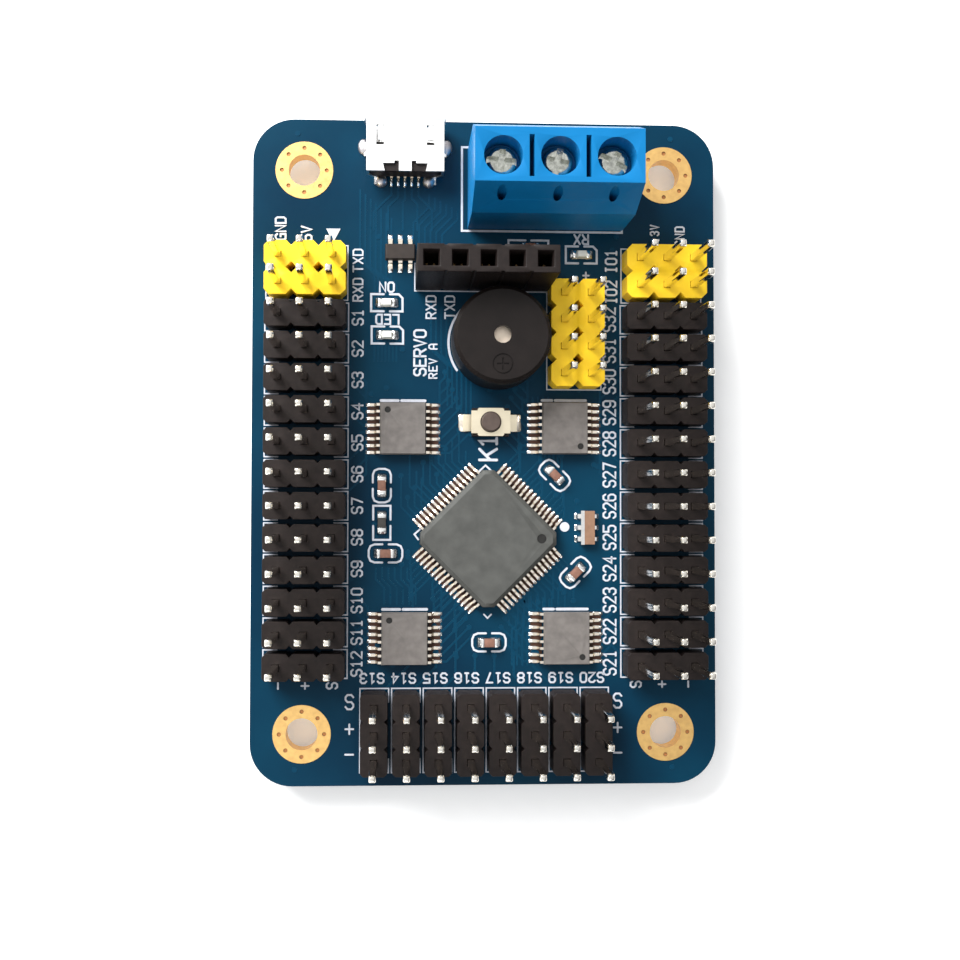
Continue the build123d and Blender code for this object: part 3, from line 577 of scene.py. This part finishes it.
def cap_fillets():
    """Solder climbing the ends of the small two-ended parts."""
    shape = Shape()
    for cap in islands("chip_end_caps"):
        middle, way, length, width, on_top = foot(cap)
        bottom, top = (length + 0.16, width + 0.75), (length - 0.04, width + 0.06)
        shape.mound(*middle, way, *bottom, *top, *pad_levels(on_top, 0.3))
    return shape


shaded_lead_windows().piece("shaded_lead_windows", LAMINATE_AND_SHADE, "solder_mask")
lead_pads().piece("soldered_pads", SOLDER, "solder", smooth=True)
cap_fillets().piece("solder_fillets", SOLDER, "solder", smooth=True)


SHELL_TAB = (3.98, 3.6)
SHELL_FOOT = (2.3, 0.3)


def shell_solder():
    """Solder at the USB shell's side tabs and rear feet."""
    shape = Shape()
    low, high = box_mm("usb_shell")
    mid = (low[0] + high[0]) / 2
    for side in (-1, 1):
        shape.dome(mid + side * SHELL_TAB[0], low[1] + SHELL_TAB[1], 0.55, 0.8, BOARD_TOP, 0.42)
        shape.dome(mid + side * SHELL_FOOT[0], low[1] + SHELL_FOOT[1], 0.6, 0.6, BOARD_TOP, 0.55)
    return shape


def contact_solder():
    """Bright solder over the feet of the USB socket's five contacts."""
    shape = Shape()
    for contact in islands("usb_contacts"):
        x = centre(contact)[0]
        shape.mound(x, contact[:, 1].min() + 0.2, (0, 1), 0.9, 0.36, 0.66, 0.2, BOARD_TOP, BOARD_TOP + 0.2)
    return shape


shell_solder().piece("usb_solder", OLD_SOLDER, "solder", smooth=True)
contact_solder().piece("usb_contact_solder", SOLDER, "solder", smooth=True)


# The shell's rear feet stand out behind its plate; its plate lies this high.
SHELL_FOOT_REACH = 0.6
SHELL_PLATE_TOP = BOARD_TOP + 2.6
WINDOW_X = 2.37
LEAF_SIDES = (-0.2, 0.32)
LEAF_LINE = [(4.4, -0.06), (3.5, -0.16), (3.05, -0.45)]
LEAF_THICKNESS = 0.14


def usb_latches():
    """The two spring leaves that slope down from the front of the shell's windows."""
    shape = Shape()
    low, high = box_mm("usb_shell")
    mid, rear, top = (low[0] + high[0]) / 2, low[1] + SHELL_FOOT_REACH, SHELL_PLATE_TOP
    for side in (-1, 1):
        x = mid + side * WINDOW_X
        loops = []
        for edge in LEAF_SIDES:
            upper = [(x + edge, rear + y, top + z) for y, z in LEAF_LINE]
            loops.append(upper + [(a, b - 0.02, c - LEAF_THICKNESS) for a, b, c in reversed(upper)])
        shape.rings(loops)
    return shape


usb_latches().piece("usb_latches", SHELL, "tinned_steel")


def button_solder():
    """A low pad of solder at the outer end of each of the button's terminals."""
    shape = Shape()
    for tab in islands("reset_button_terminals"):
        x, y, _ = centre(tab)
        outer = 0.4 if x > node_centre("reset_button_base")[0] else -0.4
        shape.mound(x + outer, y, (0, 1), 1.8, 1.2, 1.4, 0.8, BOARD_TOP, BOARD_TOP + 0.12)
    return shape


button_solder().piece("button_solder", LEADS, "solder", smooth=True)


def hole_pads():
    """Round tinned pads under the board at every through-hole joint, with the flat solder skirt."""
    shape = Shape()
    for joint in islands("solder_joints"):
        x, y, _ = centre(joint)
        radius = np.ptp(joint[:, 0]) / 2
        shape.ring(x, y, radius + 0.16, radius - 0.15, -0.03, -0.002)
    return shape


hole_pads().piece("through_hole_pads", SOLDER, "solder")


RIM_VIA_COUNT = 8
RIM_VIA_REACH = 2.135


def rim_plugs():
    """Copper that fills the small vias round each mounting hole."""
    shape = Shape()
    for rim in islands("mounting_hole_rims"):
        x, y, _ = centre(rim)
        for spot in circle(x, y, RIM_VIA_REACH, RIM_VIA_COUNT):
            shape.disc(*spot, 0.19, 0.1, BOARD_TOP - 0.06, 16)
    return shape


rim_plugs().piece("rim_via_plugs", PLUG, "gold_plate")

# ---------------------------------------------------------------- copper under the mask
HEADER_BANKS = {
    side: [centre(pin) for pin in islands(f"{side}_servo_header_pins")] for side in ("left", "right", "lower")
}
TRACK_PAST_TOE = 0.3
TRACK_HEIGHT = 0.018
VIA_HEIGHT = TRACK_HEIGHT + 0.015
COPPER_STEP = 0.0006


def signal_pins(side):
    """The inner pin of each connector, in order down or along its bank."""
    pins = HEADER_BANKS[side]
    if side == "lower":
        inner = max(p[1] for p in pins)
        return sorted((p[0], p[1]) for p in pins if abs(p[1] - inner) < 0.1)
    inner = min(abs(p[0]) for p in pins)
    return sorted(((p[0], p[1]) for p in pins if abs(abs(p[0]) - inner) < 0.1), key=lambda p: -p[1])


def jog(start, end, lead=0.5):
    """A route with one 45 degree stretch between two straight ones; lead sets where it comes."""
    (x0, y0), (x1, y1) = start, end
    dx, dy = x1 - x0, y1 - y0
    slant = min(abs(dx), abs(dy))
    sx, sy = math.copysign(1, dx), math.copysign(1, dy)
    if abs(dx) > abs(dy):
        first = (x0 + sx * (abs(dx) - slant) * lead, y0)
    else:
        first = (x0, y0 + sy * (abs(dy) - slant) * lead)
    second = (first[0] + sx * slant, first[1] + sy * slant)
    path = [start, first, second, end]
    return [p for i, p in enumerate(path) if i == 0 or math.dist(p, path[i - 1]) > 0.02]


def toes(node):
    """The outer end of each lead's foot and its outward direction."""
    found = []
    for lead in islands(node):
        middle, way, length, _, _ = lead_foot(lead)
        found.append((middle + way * (length / 2 + TRACK_PAST_TOE), way))
    return found


class Copper(Shape):
    """Tracks and vias on one level, each a hair higher or lower than the last, so crossings don't flicker."""

    def __init__(self):
        super().__init__()
        self.drawn = itertools.count()

    def step(self):
        return COPPER_STEP * (next(self.drawn) % 23)

    def track(self, path, width=0.2):
        if len(path) > 1:
            self.line(path, width, BOARD_TOP, BOARD_TOP + TRACK_HEIGHT + self.step())

    def via(self, x, y):
        self.disc(x, y, 0.26, BOARD_TOP, BOARD_TOP + VIA_HEIGHT + self.step(), 16)


# Bundles drawn together: how many tracks, then each bundle's first start, the step from one start to the
# next, the first end, the step between ends, and how far along the bend comes.
BUNDLES = [
    (6, [((-5.4, 24.6), (0.55, -0.3), (-6.9, 18.4), (0.55, 0), 0.25)]),
    (7, [((-12.0, 25.0), (0.5, -0.45), (-10.6, 8.6), (0.35, 0), 0.45)]),
    (
        6,
        [
            ((-5.2, 14.4), (0.5, -0.3), (-3.6, 4.4), (0.45, -0.2), 0.55),
            ((3.6, 5.2), (0.5, 0), (5.4, -0.2), (0.4, -0.3), 0.4),
            ((-10.4, -11.2), (0.6, 0), (-9.6, -14.6), (0.6, 0), 0.4),
            ((3.2, -13.2), (0.6, -0.2), (2.6, -20.4), (0.5, 0), 0.5),
        ],
    ),
]
LOOSE_VIAS = 46


def small_chip_tracks(shape):
    """Tracks from the small chips: outwards to the signal pins, and inwards to vias."""
    chip_toes = toes("shift_register_leads")
    for side, sign in (("left", -1), ("right", 1)):
        pins = signal_pins(side)
        outer = [t for t, w in chip_toes if w[0] * sign > 0.5 and t[0] * sign > 7]
        for start, pin in zip(sorted(outer, key=lambda t: -t[1]), pins + pins[-4:]):
            shape.track(jog(tuple(start), (pin[0] - sign * 0.9, pin[1]), 0.35))
            shape.track([(pin[0] - sign * 0.9, pin[1]), (pin[0], pin[1])], 0.3)
        inner = [t for t, w in chip_toes if w[0] * sign < -0.5 and t[0] * sign > 2]
        for i, start in enumerate(sorted(inner, key=lambda t: -t[1])):
            reach = 0.5 + 0.36 * (i % 8)
            end = (start[0] - sign * reach, start[1] + (3.2 if start[1] > -8 else 3.8) - 0.2 * (i % 8))
            shape.track(jog(tuple(start), end, 0.8))
            shape.via(*end)


def microcontroller_tracks(shape):
    """A short bent track from every lead, with a via at every other one."""
    for i, (tip, way) in enumerate(toes("microcontroller_leads")):
        k = i % 16
        reach = 0.4 + 0.42 * (k % 6)
        bend = tip + way * reach
        down = 1 if way[1] > 0 else -1
        rise = 0.9 + 0.42 * ((k * 5) % 7)
        shape.track([tuple(tip), tuple(bend), (bend[0], bend[1] + down * rise)], 0.17)
        if k % 2:
            shape.via(bend[0], bend[1] + down * rise)


def usb_tracks(shape):
    """A track from each USB contact towards the middle of the board."""
    for i, contact in enumerate(sorted(islands("usb_contacts"), key=lambda c: centre(c)[0])):
        x = centre(contact)[0]
        start = (x, contact[:, 1].min() - 0.2)
        shape.track(jog(start, (x + 0.75 * (i - 2) - 0.2, 21.2), 0.3))


def copper():
    """Tracks just visible under the mask: fans from the chips, bundles and small vias."""
    shape = Copper()
    small_chip_tracks(shape)
    microcontroller_tracks(shape)
    usb_tracks(shape)
    for count, bundles in BUNDLES:
        for i in range(count):
            for start, start_step, end, end_step, bend in bundles:
                first = (start[0] + i * start_step[0], start[1] + i * start_step[1])
                last = (end[0] + i * end_step[0], end[1] + i * end_step[1])
                shape.track(jog(first, last, bend), 0.18)
    for i, (x, y) in enumerate(signal_pins("lower")):
        end = (x * 0.62, -19.6 + 0.18 * abs(i - 3.5))
        shape.track(jog((x, y), end, 0.3), 0.22)
        shape.via(*end)
    rng = random.Random(11)
    for _ in range(LOOSE_VIAS):
        shape.via(rng.uniform(-12.8, 12.8), rng.uniform(-21, 21))
    for x in (-18.0, -9.0, 0.0, 9.0, 18.0):
        for y in (-30.2, 30.4):
            shape.via(x, y)
    return shape


copper().piece("masked_tracks", TRACK, "solder_mask")


BAR_WIDTH = 2.1


def copper_below():
    """Supply and ground bars and signal tracks on the hidden face."""
    shape = Shape()
    low, high = -TRACK_HEIGHT, 0.0
    for side in ("left", "right"):
        pins = HEADER_BANKS[side]
        for x in sorted({round(p[0], 2) for p in pins}, key=abs)[1:]:
            ys = [p[1] for p in pins if abs(p[0] - x) < 0.1]
            shape.line([(x, max(ys) + 0.8), (x, min(ys) - 0.8)], BAR_WIDTH, low, high)
        for i, (x, y) in enumerate(signal_pins(side)):
            inward = -math.copysign(1, x)
            shape.line(jog((x, y), (x + inward * (3.0 + 0.3 * i), y - 2.4), 0.3), 0.25, low, high)
    pins = HEADER_BANKS["lower"]
    for y in sorted({round(p[1], 2) for p in pins})[:2]:
        xs = [p[0] for p in pins if abs(p[1] - y) < 0.1]
        shape.line([(min(xs) - 0.8, y), (max(xs) + 0.8, y)], BAR_WIDTH, low, high)
    for i in range(9):
        shape.line(jog((-7 + 1.6 * i, 20.5), (-8.2 + 1.9 * i, -21.5), 0.2 + 0.06 * i), 0.25, low, high)
    return shape


copper_below().piece("masked_tracks_below", TRACK, "solder_mask")

# ---------------------------------------------------------------- white print
# Strokes of each letter on a grid 4 wide and 6 high.
GLYPHS = {
    "0": [[(1, 0), (3, 0), (4, 1), (4, 5), (3, 6), (1, 6), (0, 5), (0, 1), (1, 0)]],
    "1": [[(0.8, 4.8), (2, 6), (2, 0)], [(0.9, 0), (3.1, 0)]],
    "2": [[(0, 5), (1, 6), (3, 6), (4, 5), (4, 4), (0, 0), (4, 0)]],
    "3": [
        [(0, 5), (1, 6), (3, 6), (4, 5), (4, 4), (3, 3.1), (4, 2), (4, 1), (3, 0), (1, 0), (0, 1)],
        [(1.6, 3.1), (3, 3.1)],
    ],
    "4": [[(3, 0), (3, 6), (0, 2), (4, 2)]],
    "5": [[(4, 6), (0, 6), (0, 3.5), (3, 3.5), (4, 2.5), (4, 1), (3, 0), (1, 0), (0, 1)]],
    "6": [[(4, 5), (3, 6), (1, 6), (0, 5), (0, 1), (1, 0), (3, 0), (4, 1), (4, 2.5), (3, 3.5), (0.2, 3.5)]],
    "7": [[(0, 6), (4, 6), (1.5, 0)]],
    "8": [
        [(1, 3.1), (0, 4), (0, 5), (1, 6), (3, 6), (4, 5), (4, 4), (3, 3.1), (1, 3.1)],
        [(1, 3.1), (0, 2), (0, 1), (1, 0), (3, 0), (4, 1), (4, 2), (3, 3.1)],
    ],
    "9": [[(0, 1), (1, 0), (3, 0), (4, 1), (4, 5), (3, 6), (1, 6), (0, 5), (0, 3.5), (1, 2.5), (3.8, 2.5)]],
    "A": [[(0, 0), (0, 4.5), (1, 6), (3, 6), (4, 4.5), (4, 0)], [(0.2, 2.5), (3.8, 2.5)]],
    "D": [[(0, 0), (0, 6), (3, 6), (4, 5), (4, 1), (3, 0), (0, 0)]],
    "E": [[(4, 6), (0, 6), (0, 0), (4, 0)], [(0.2, 3), (3, 3)]],
    "G": [[(4, 5), (3, 6), (1, 6), (0, 5), (0, 1), (1, 0), (4, 0), (4, 3), (2.3, 3)]],
    "I": [[(1, 6), (3, 6)], [(2, 6), (2, 0)], [(1, 0), (3, 0)]],
    "K": [[(0, 0), (0, 6)], [(4, 6), (0.2, 2.4)], [(1.6, 3.6), (4, 0)]],
    "L": [[(0, 6), (0, 0), (4, 0)]],
    "N": [[(0, 0), (0, 6), (4, 0), (4, 6)]],
    "R": [[(0, 0), (0, 6), (3, 6), (4, 5), (4, 4), (3, 3), (0.2, 3)], [(2, 3), (4, 0)]],
    "S": [[(4, 5), (3, 6), (1, 6), (0, 5), (0, 4), (1, 3), (3, 3), (4, 2), (4, 1), (3, 0), (1, 0), (0, 1)]],
    "T": [[(0, 6), (4, 6)], [(2, 5.8), (2, 0)]],
    "V": [[(0, 6), (2, 0), (4, 6)]],
    "X": [[(0, 0), (4, 6)], [(0, 6), (4, 0)]],
    "+": [[(2, 1), (2, 5)], [(0, 3), (4, 3)]],
    "-": [[(0, 3), (4, 3)]],
    ".": [[(1.6, 0), (2.4, 0)]],
}
GLYPHS["O"] = GLYPHS["0"]
PRINT_LOW, PRINT_HIGH = BOARD_TOP + 0.004, BOARD_TOP + 0.052


def write(shape, words, x, y, height=1.0, turn=0, weight=0.17, advance=0.8):
    """Plain stroke lettering centred on x, y and turned anticlockwise by degrees."""
    wide = advance - 0.26
    start = -(advance * (len(words) - 1) + wide) / 2
    c, s = math.cos(math.radians(turn)), math.sin(math.radians(turn))
    step = 0
    for i, letter in enumerate(words):
        for stroke in GLYPHS.get(letter, []):
            flat = [(start + i * advance + u / 4 * wide, (v / 6 - 0.5) * height) for u, v in stroke]
            loop = stroke[0] == stroke[-1]
            path = [(x + c * a - s * b, y + s * a + c * b) for a, b in (flat[:-1] if loop else flat)]
            step += 1
            shape.line(path, weight, PRINT_LOW, PRINT_HIGH + 0.002 * (step % 2), closed=loop)


def frame_box(shape, x, y, width, length, weight=0.11):
    a, b = width / 2, length / 2
    path = [(x - a, y - b), (x + a, y - b), (x + a, y + b), (x - a, y + b)]
    shape.line(path, weight, PRINT_LOW, PRINT_HIGH, closed=True)


def bank_frame(shape, x, y, width, length, left=1.3, corner=1.3, weight=0.12):
    """The print round one three-pin strip: its short ends, returning a little along its sides."""
    a, b = width / 2, length / 2
    for side in (-1, 1):
        if width > length:
            end = [(side * (a - corner), b), (side * a, b), (side * a, -b), (side * (a - corner), -b)]
        else:
            end = [(-a, side * (b - left)), (-a, side * b), (a, side * b), (a, side * (b - corner))]
        shape.line([(x + u, y + v) for u, v in end], weight, PRINT_LOW, PRINT_HIGH)


def placed(path, x, y, turn):
    c, s = math.cos(math.radians(turn)), math.sin(math.radians(turn))
    return [(x + c * a - s * b, y + s * a + c * b) for a, b in path]


def bracket(shape, x, y, turn, half_length, half_width, cut, gap=0.3, weight=0.19):
    """The two facing brackets printed round a small part; cut rounds their corners."""
    for side in (-1, 1):
        corner = [(half_length, half_width)]
        if cut:
            turns = [math.radians(a) for a in (90, 45, 0)]
            a, b = half_length - cut, half_width - cut
            corner = [(a + cut * math.cos(t), b + cut * math.sin(t)) for t in turns]
        half = [(gap, half_width)] + corner
        path = half + [(a, -b) for a, b in reversed(half)]
        shape.line(placed([(side * a, b) for a, b in path], x, y, turn), weight, PRINT_LOW, PRINT_HIGH)


STRIP_LENGTH = 7.95
STRIP_WIDTH = 2.72
FULL_SIDE = 3.95


def channel_print(shape):
    """Frames and channel numbers of the three banks, with their S, + and - marks."""
    for side, label_x in (("left", -12.2), ("right", 12.0)):
        pins = signal_pins(side)
        middle_x = math.copysign(abs(pins[0][0]) + PIN_PITCH, pins[0][0])
        for i, (_, y) in enumerate(pins):
            bank_frame(shape, middle_x, y, STRIP_LENGTH, STRIP_WIDTH)
            number = i + 1 if side == "left" else 32 - i
            write(shape, f"S{number}", label_x, y, 1.0 if side == "left" else 1.16, 90, advance=0.84)
        marks = "-+S" if side == "left" else "S+-"
        for mark, x in zip(marks, (middle_x - PIN_PITCH, middle_x, middle_x + PIN_PITCH)):
            write(shape, mark, x, -22.3, turn=90)
    for i, (x, y) in enumerate(signal_pins("lower")):
        bank_frame(shape, x, y - PIN_PITCH, STRIP_WIDTH, STRIP_LENGTH, left=FULL_SIDE)
        write(shape, f"S{13 + i}", x - 0.22, -21.62, 0.9, 180, advance=0.82)
    for x in (-12.85, 12.75):
        for mark, y in zip("S+-", (-23.85, -26.4, -28.8)):
            write(shape, mark, x, y, 1.35, advance=1.0)


# Words, place, height, stroke width and distance from one letter to the next; all are turned upright.
LEGENDS = [
    ("GND", -19.58, 21.2, 0.95, 0.17, 0.8),
    ("5V", -17.11, 20.75, 0.95, 0.17, 0.8),
    ("TXD", -12.2, 18.2, 0.9, 0.15, 0.8),
    ("RXD", -12.2, 15.4, 0.9, 0.15, 0.8),
    ("RXD", -5.2, 13.8, 0.9, 0.15, 0.8),
    ("TXD", -3.4, 13.8, 0.9, 0.15, 0.8),
    ("IO1", 12.2, 18.4, 1.05, 0.17, 0.8),
    ("IO2", 12.2, 15.4, 1.05, 0.17, 0.8),
    ("3.3V", 16.45, 20.85, 0.8, 0.14, 0.62),
    ("GND", 18.9, 20.9, 0.85, 0.15, 0.7),
    ("SERVO", -6.25, 9.4, 1.1, 0.19, 0.92),
    ("REV A", -5.0, 8.6, 0.75, 0.14, 0.7),
]


def header_print(shape):
    """Frames and legends of the yellow headers, the socket and the terminals."""
    for node in [f"{header}_housing" for header in YELLOW_HEADERS] + ["module_socket_housing"]:
        low, high = box_mm(node)
        frame_box(shape, *((low + high) / 2)[:2], *(high - low + 0.16)[:2])
    low, high = box_mm("terminal_housing")
    frame_box(shape, (low[0] + high[0]) / 2 - 0.3, (low[1] + high[1]) / 2 + 0.05, 15.5, 8.1, 0.2)
    shape.prism([(-15.25, 21.25), (-14.56, 19.95), (-13.87, 21.25)], PRINT_LOW, PRINT_HIGH)
    for words, x, y, height, weight, advance in LEGENDS:
        write(shape, words, x, y, height, 90, weight, advance)
    write(shape, "+", 9.75, 17.0, 0.9)


def chip_print(shape):
    """Marks round the chips, the button and the buzzer."""
    for chip, notch in zip(SMALL_CHIPS, (-0.3, -1.0, -0.3, -1.0)):
        x, y, _ = node_centre(chip)
        for a, b in ((-2.1, notch - 0.16), (notch + 0.16, 2.1)):
            shape.line([(x + a, y + 2.7), (x + b, y + 2.7)], 0.26, PRINT_LOW, PRINT_HIGH)
    x, y, _ = node_centre("microcontroller_body")
    shape.line([(x - 6.3, y + 1.0), (x - 7.0, y + 0.38), (x - 6.63, y - 0.11)], 0.17, PRINT_LOW, PRINT_HIGH)
    shape.line([(x - 0.91, y + 6.32), (x - 0.2, y + 6.98), (x + 0.4, y + 6.4)], 0.17, PRINT_LOW, PRINT_HIGH)
    shape.line([(x - 0.35, y - 7.25), (x, y - 7.6), (x + 0.35, y - 7.25)], 0.15, PRINT_LOW, PRINT_HIGH)
    shape.disc(x + 7.4, y + 1.1, 0.46, PRINT_LOW, PRINT_HIGH)
    write(shape, "K1", 0.3, 0.33, 1.65, 90, 0.26, 1.3)
    x, y, _ = node_centre("buzzer_case")
    arc = [math.radians(a) for a in range(138, 218, 4)]
    shape.line([(x + 4.72 * math.cos(a), y + 4.72 * math.sin(a)) for a in arc], 0.22, PRINT_LOW, PRINT_HIGH)


BEHIND_SOCKET_Y = 19
LAMPS = ("ON", "LED", "RX")


def small_part_print(shape):
    """Brackets round the small two-ended parts."""
    for cap in islands("ceramic_capacitors"):
        if cap[:, 1].max() > BEHIND_SOCKET_Y:
            for outer, inner in ((2.25, 3.9), (6.1, 4.45)):
                shape.line([(outer, 19.9), (outer, 20.35), (inner, 20.35)], 0.19, PRINT_LOW, PRINT_HIGH)
        elif cap[:, 2].min() > BOARD_TOP:
            middle, way, _, _, _ = foot(cap)
            bracket(shape, *middle, math.degrees(math.atan2(way[1], way[0])), 1.6, 0.86, 0.55)
    for body in islands("chip_resistors"):
        if body[:, 2].min() > BOARD_TOP:
            middle, way, _, _, _ = foot(body)
            bracket(shape, *middle, math.degrees(math.atan2(way[1], way[0])), 1.62, 0.82, 0.0)


def lamp_print(shape):
    """The brackets round each LED, one with its corner cut, and the LED's name."""
    a, b, cut, gap = 1.5, 0.82, 0.36, 0.3
    plain = [(-gap, -b), (-a, -b), (-a, b), (-gap, b)]
    marked = [(gap, b), (a - cut, b), (a, b - cut), (a, -b), (gap, -b)]
    lamps = sorted((tuple(centre(base)) for base in islands("led_bases")), key=lambda p: (p[0], -p[1]))
    for (x, y, _), words in zip(lamps, LAMPS):
        for path in (plain, marked):
            shape.line(placed(path, x, y, 0), 0.2, PRINT_LOW, PRINT_HIGH)
        write(shape, words, x, y + 1.5, 0.9, 180, 0.18, 0.8)


printed = Shape()
for draw in (channel_print, header_print, chip_print, small_part_print, lamp_print):
    draw(printed)
printed.piece("white_print", PRINT, "solder_mask")


# ---------------------------------------------------------------- small visible details
STAND_OFF = 0.1
DIMPLE_DEPTH = 0.06


def chip_marks():
    """The polished floor of each pin-one dimple."""
    shape = Shape()
    spots = {"microcontroller_body": (5.02, 0.0, 0.44, 1.4)}
    for chip, turn in zip(SMALL_CHIPS, (1, -1, 1, -1)):
        spots[chip] = (-1.45 * turn, 1.75 * turn, 0.29, 1.0)
    for node, (dx, dy, radius, height) in spots.items():
        x, y, _ = node_centre(node)
        floor = BOARD_TOP + STAND_OFF + height - DIMPLE_DEPTH
        shape.disc(x + dx, y + dy, radius, floor, floor + 0.01)
    return shape


chip_marks().piece("pin_one_marks", MARK, "black_epoxy")


def resonator_metal():
    """Silvered bands on the resonator's near side and its three soldered pads."""
    shape = Shape()
    low, high = box_mm("resonator")
    left, right = low[0] - 0.02, low[0] + 0.32
    near, far = low[1] - 0.02, high[1] + 0.02
    shape.prism([(left, near), (right, near), (right, far), (left, far)], low[2], high[2] + 0.012)
    for share in (0.16, 0.5, 0.84):
        y = low[1] + share * (high[1] - low[1])
        shape.mound(low[0] - 0.12, y, (1, 0), 0.85, 0.62, 0.3, 0.42, BOARD_TOP, BOARD_TOP + 0.3)
        shape.mound(high[0] + 0.12, y, (1, 0), 0.7, 0.5, 0.3, 0.35, BOARD_TOP, BOARD_TOP + 0.22)
    return shape


resonator_metal().piece("resonator_electrodes", SOLDER, "solder")


def lamp_insides():
    """The die and the reflector pad seen through each LED's clear top."""
    shape = Shape()
    for base in islands("led_bases"):
        x, y, _ = centre(base)
        top = base[:, 2].max()
        shape.mound(x + 0.12, y, (1, 0), 0.42, 0.36, 0.34, 0.3, top + 0.012, top + 0.11)
    return shape


lamp_insides().piece("led_dies", DIE, "led_epoxy")

# ---------------------------------------------------------------- floor, light and camera
FLOOR_REACH = 1.5
FLOOR_GLOW = 0.22
floor_z = CAD_BOX[0][2]
floor_mesh = bpy.data.meshes.new("floor")
floor_corners = [(a * FLOOR_REACH, b * FLOOR_REACH, floor_z) for a, b in ((-1, -1), (1, -1), (1, 1), (-1, 1))]
floor_mesh.from_pydata(floor_corners, [], [(0, 1, 2, 3)])
floor = bpy.data.objects.new("floor", floor_mesh)
bpy.context.scene.collection.objects.link(floor)
floor_white = surface("floor_white", (0.93, 0.92, 0.915), 0.7, spread=0.01, patch_mm=60, specular=0.1)
floor.data.materials.append(floor_white)
floor_shader = floor_white.node_tree.nodes["Principled BSDF"]
floor_shader.inputs["Emission Color"].default_value = (1, 1, 1, 1)
floor_shader.inputs["Emission Strength"].default_value = FLOOR_GLOW

# The sky is bright towards the window and dark away from it; the camera itself sees a pale backdrop.
TOWARD_WINDOW = (-0.42, 0.40, 0.815)
BACKDROP = (0.92, 0.92, 0.92, 1.0)
world = bpy.data.worlds.new("studio")
bpy.context.scene.world = world
world.use_nodes = True
sky = world.node_tree
backdrop = sky.nodes["Background"]
direction = sky.nodes.new("ShaderNodeTexCoord").outputs["Generated"]
toward = sky.nodes.new("ShaderNodeVectorMath")
toward.operation = "DOT_PRODUCT"
toward.inputs[1].default_value = TOWARD_WINDOW
sky.links.new(direction, toward.inputs[0])
share = sky.nodes.new("ShaderNodeMapRange")
share.inputs["From Min"].default_value = -0.6
share.inputs["From Max"].default_value = 1.0
sky.links.new(toward.outputs["Value"], share.inputs["Value"])
glow = add_ramp(
    sky,
    share.outputs["Result"],
    [
        (0.0, (0.02, 0.018, 0.017, 1.0)),
        (0.30, (0.07, 0.065, 0.062, 1.0)),
        (0.58, (0.34, 0.34, 0.35, 1.0)),
        (0.84, (0.78, 0.79, 0.80, 1.0)),
        (1.0, (1.0, 1.0, 1.0, 1.0)),
    ],
)
sight = sky.nodes.new("ShaderNodeMix")
sight.data_type = "RGBA"
sight.inputs["B"].default_value = BACKDROP
sky.links.new(sky.nodes.new("ShaderNodeLightPath").outputs["Is Camera Ray"], sight.inputs["Factor"])
sky.links.new(glow, sight.inputs["A"])
sky.links.new(sight.outputs["Result"], backdrop.inputs["Color"])
backdrop.inputs["Strength"].default_value = 1.1


def panel(name, place, size, power, color=(1, 1, 1)):
    """A soft square light aimed at the board."""
    lamp = bpy.data.lights.new(name, "AREA")
    lamp.size = size
    lamp.energy = power
    lamp.color = color
    holder = bpy.data.objects.new(name, lamp)
    holder.location = place
    holder.visible_camera = False
    holder.rotation_euler = (-Vector(place)).to_track_quat("-Z", "Y").to_euler()
    bpy.context.scene.collection.objects.link(holder)


panel("window", (-0.15, 0.18, 0.16), 0.16, 1.75, (0.97, 0.99, 1.0))
panel("fill", (-0.03, -0.19, 0.21), 0.16, 0.14, (0.93, 0.98, 1.0))

# The camera hangs a little off straight above the board, as fitted to the photo.
CAMERA_PLACE = (-0.008484, -0.005320, 0.10564)
CAMERA_TILT = Vector((-0.0244, 0.0422, -0.0025))
eye = bpy.data.cameras.new("camera")
eye.sensor_width = 36
eye.lens = 40.87
eye.shift_x = 0.0394
eye.clip_start = 0.005
camera = bpy.data.objects.new("camera", eye)
turned = Matrix.Rotation(CAMERA_TILT.length, 4, CAMERA_TILT.normalized()).inverted()
camera.matrix_world = Matrix.Translation(CAMERA_PLACE) @ turned
bpy.context.scene.collection.objects.link(camera)
bpy.context.scene.camera = camera
bpy.context.scene.view_settings.view_transform = "Standard"
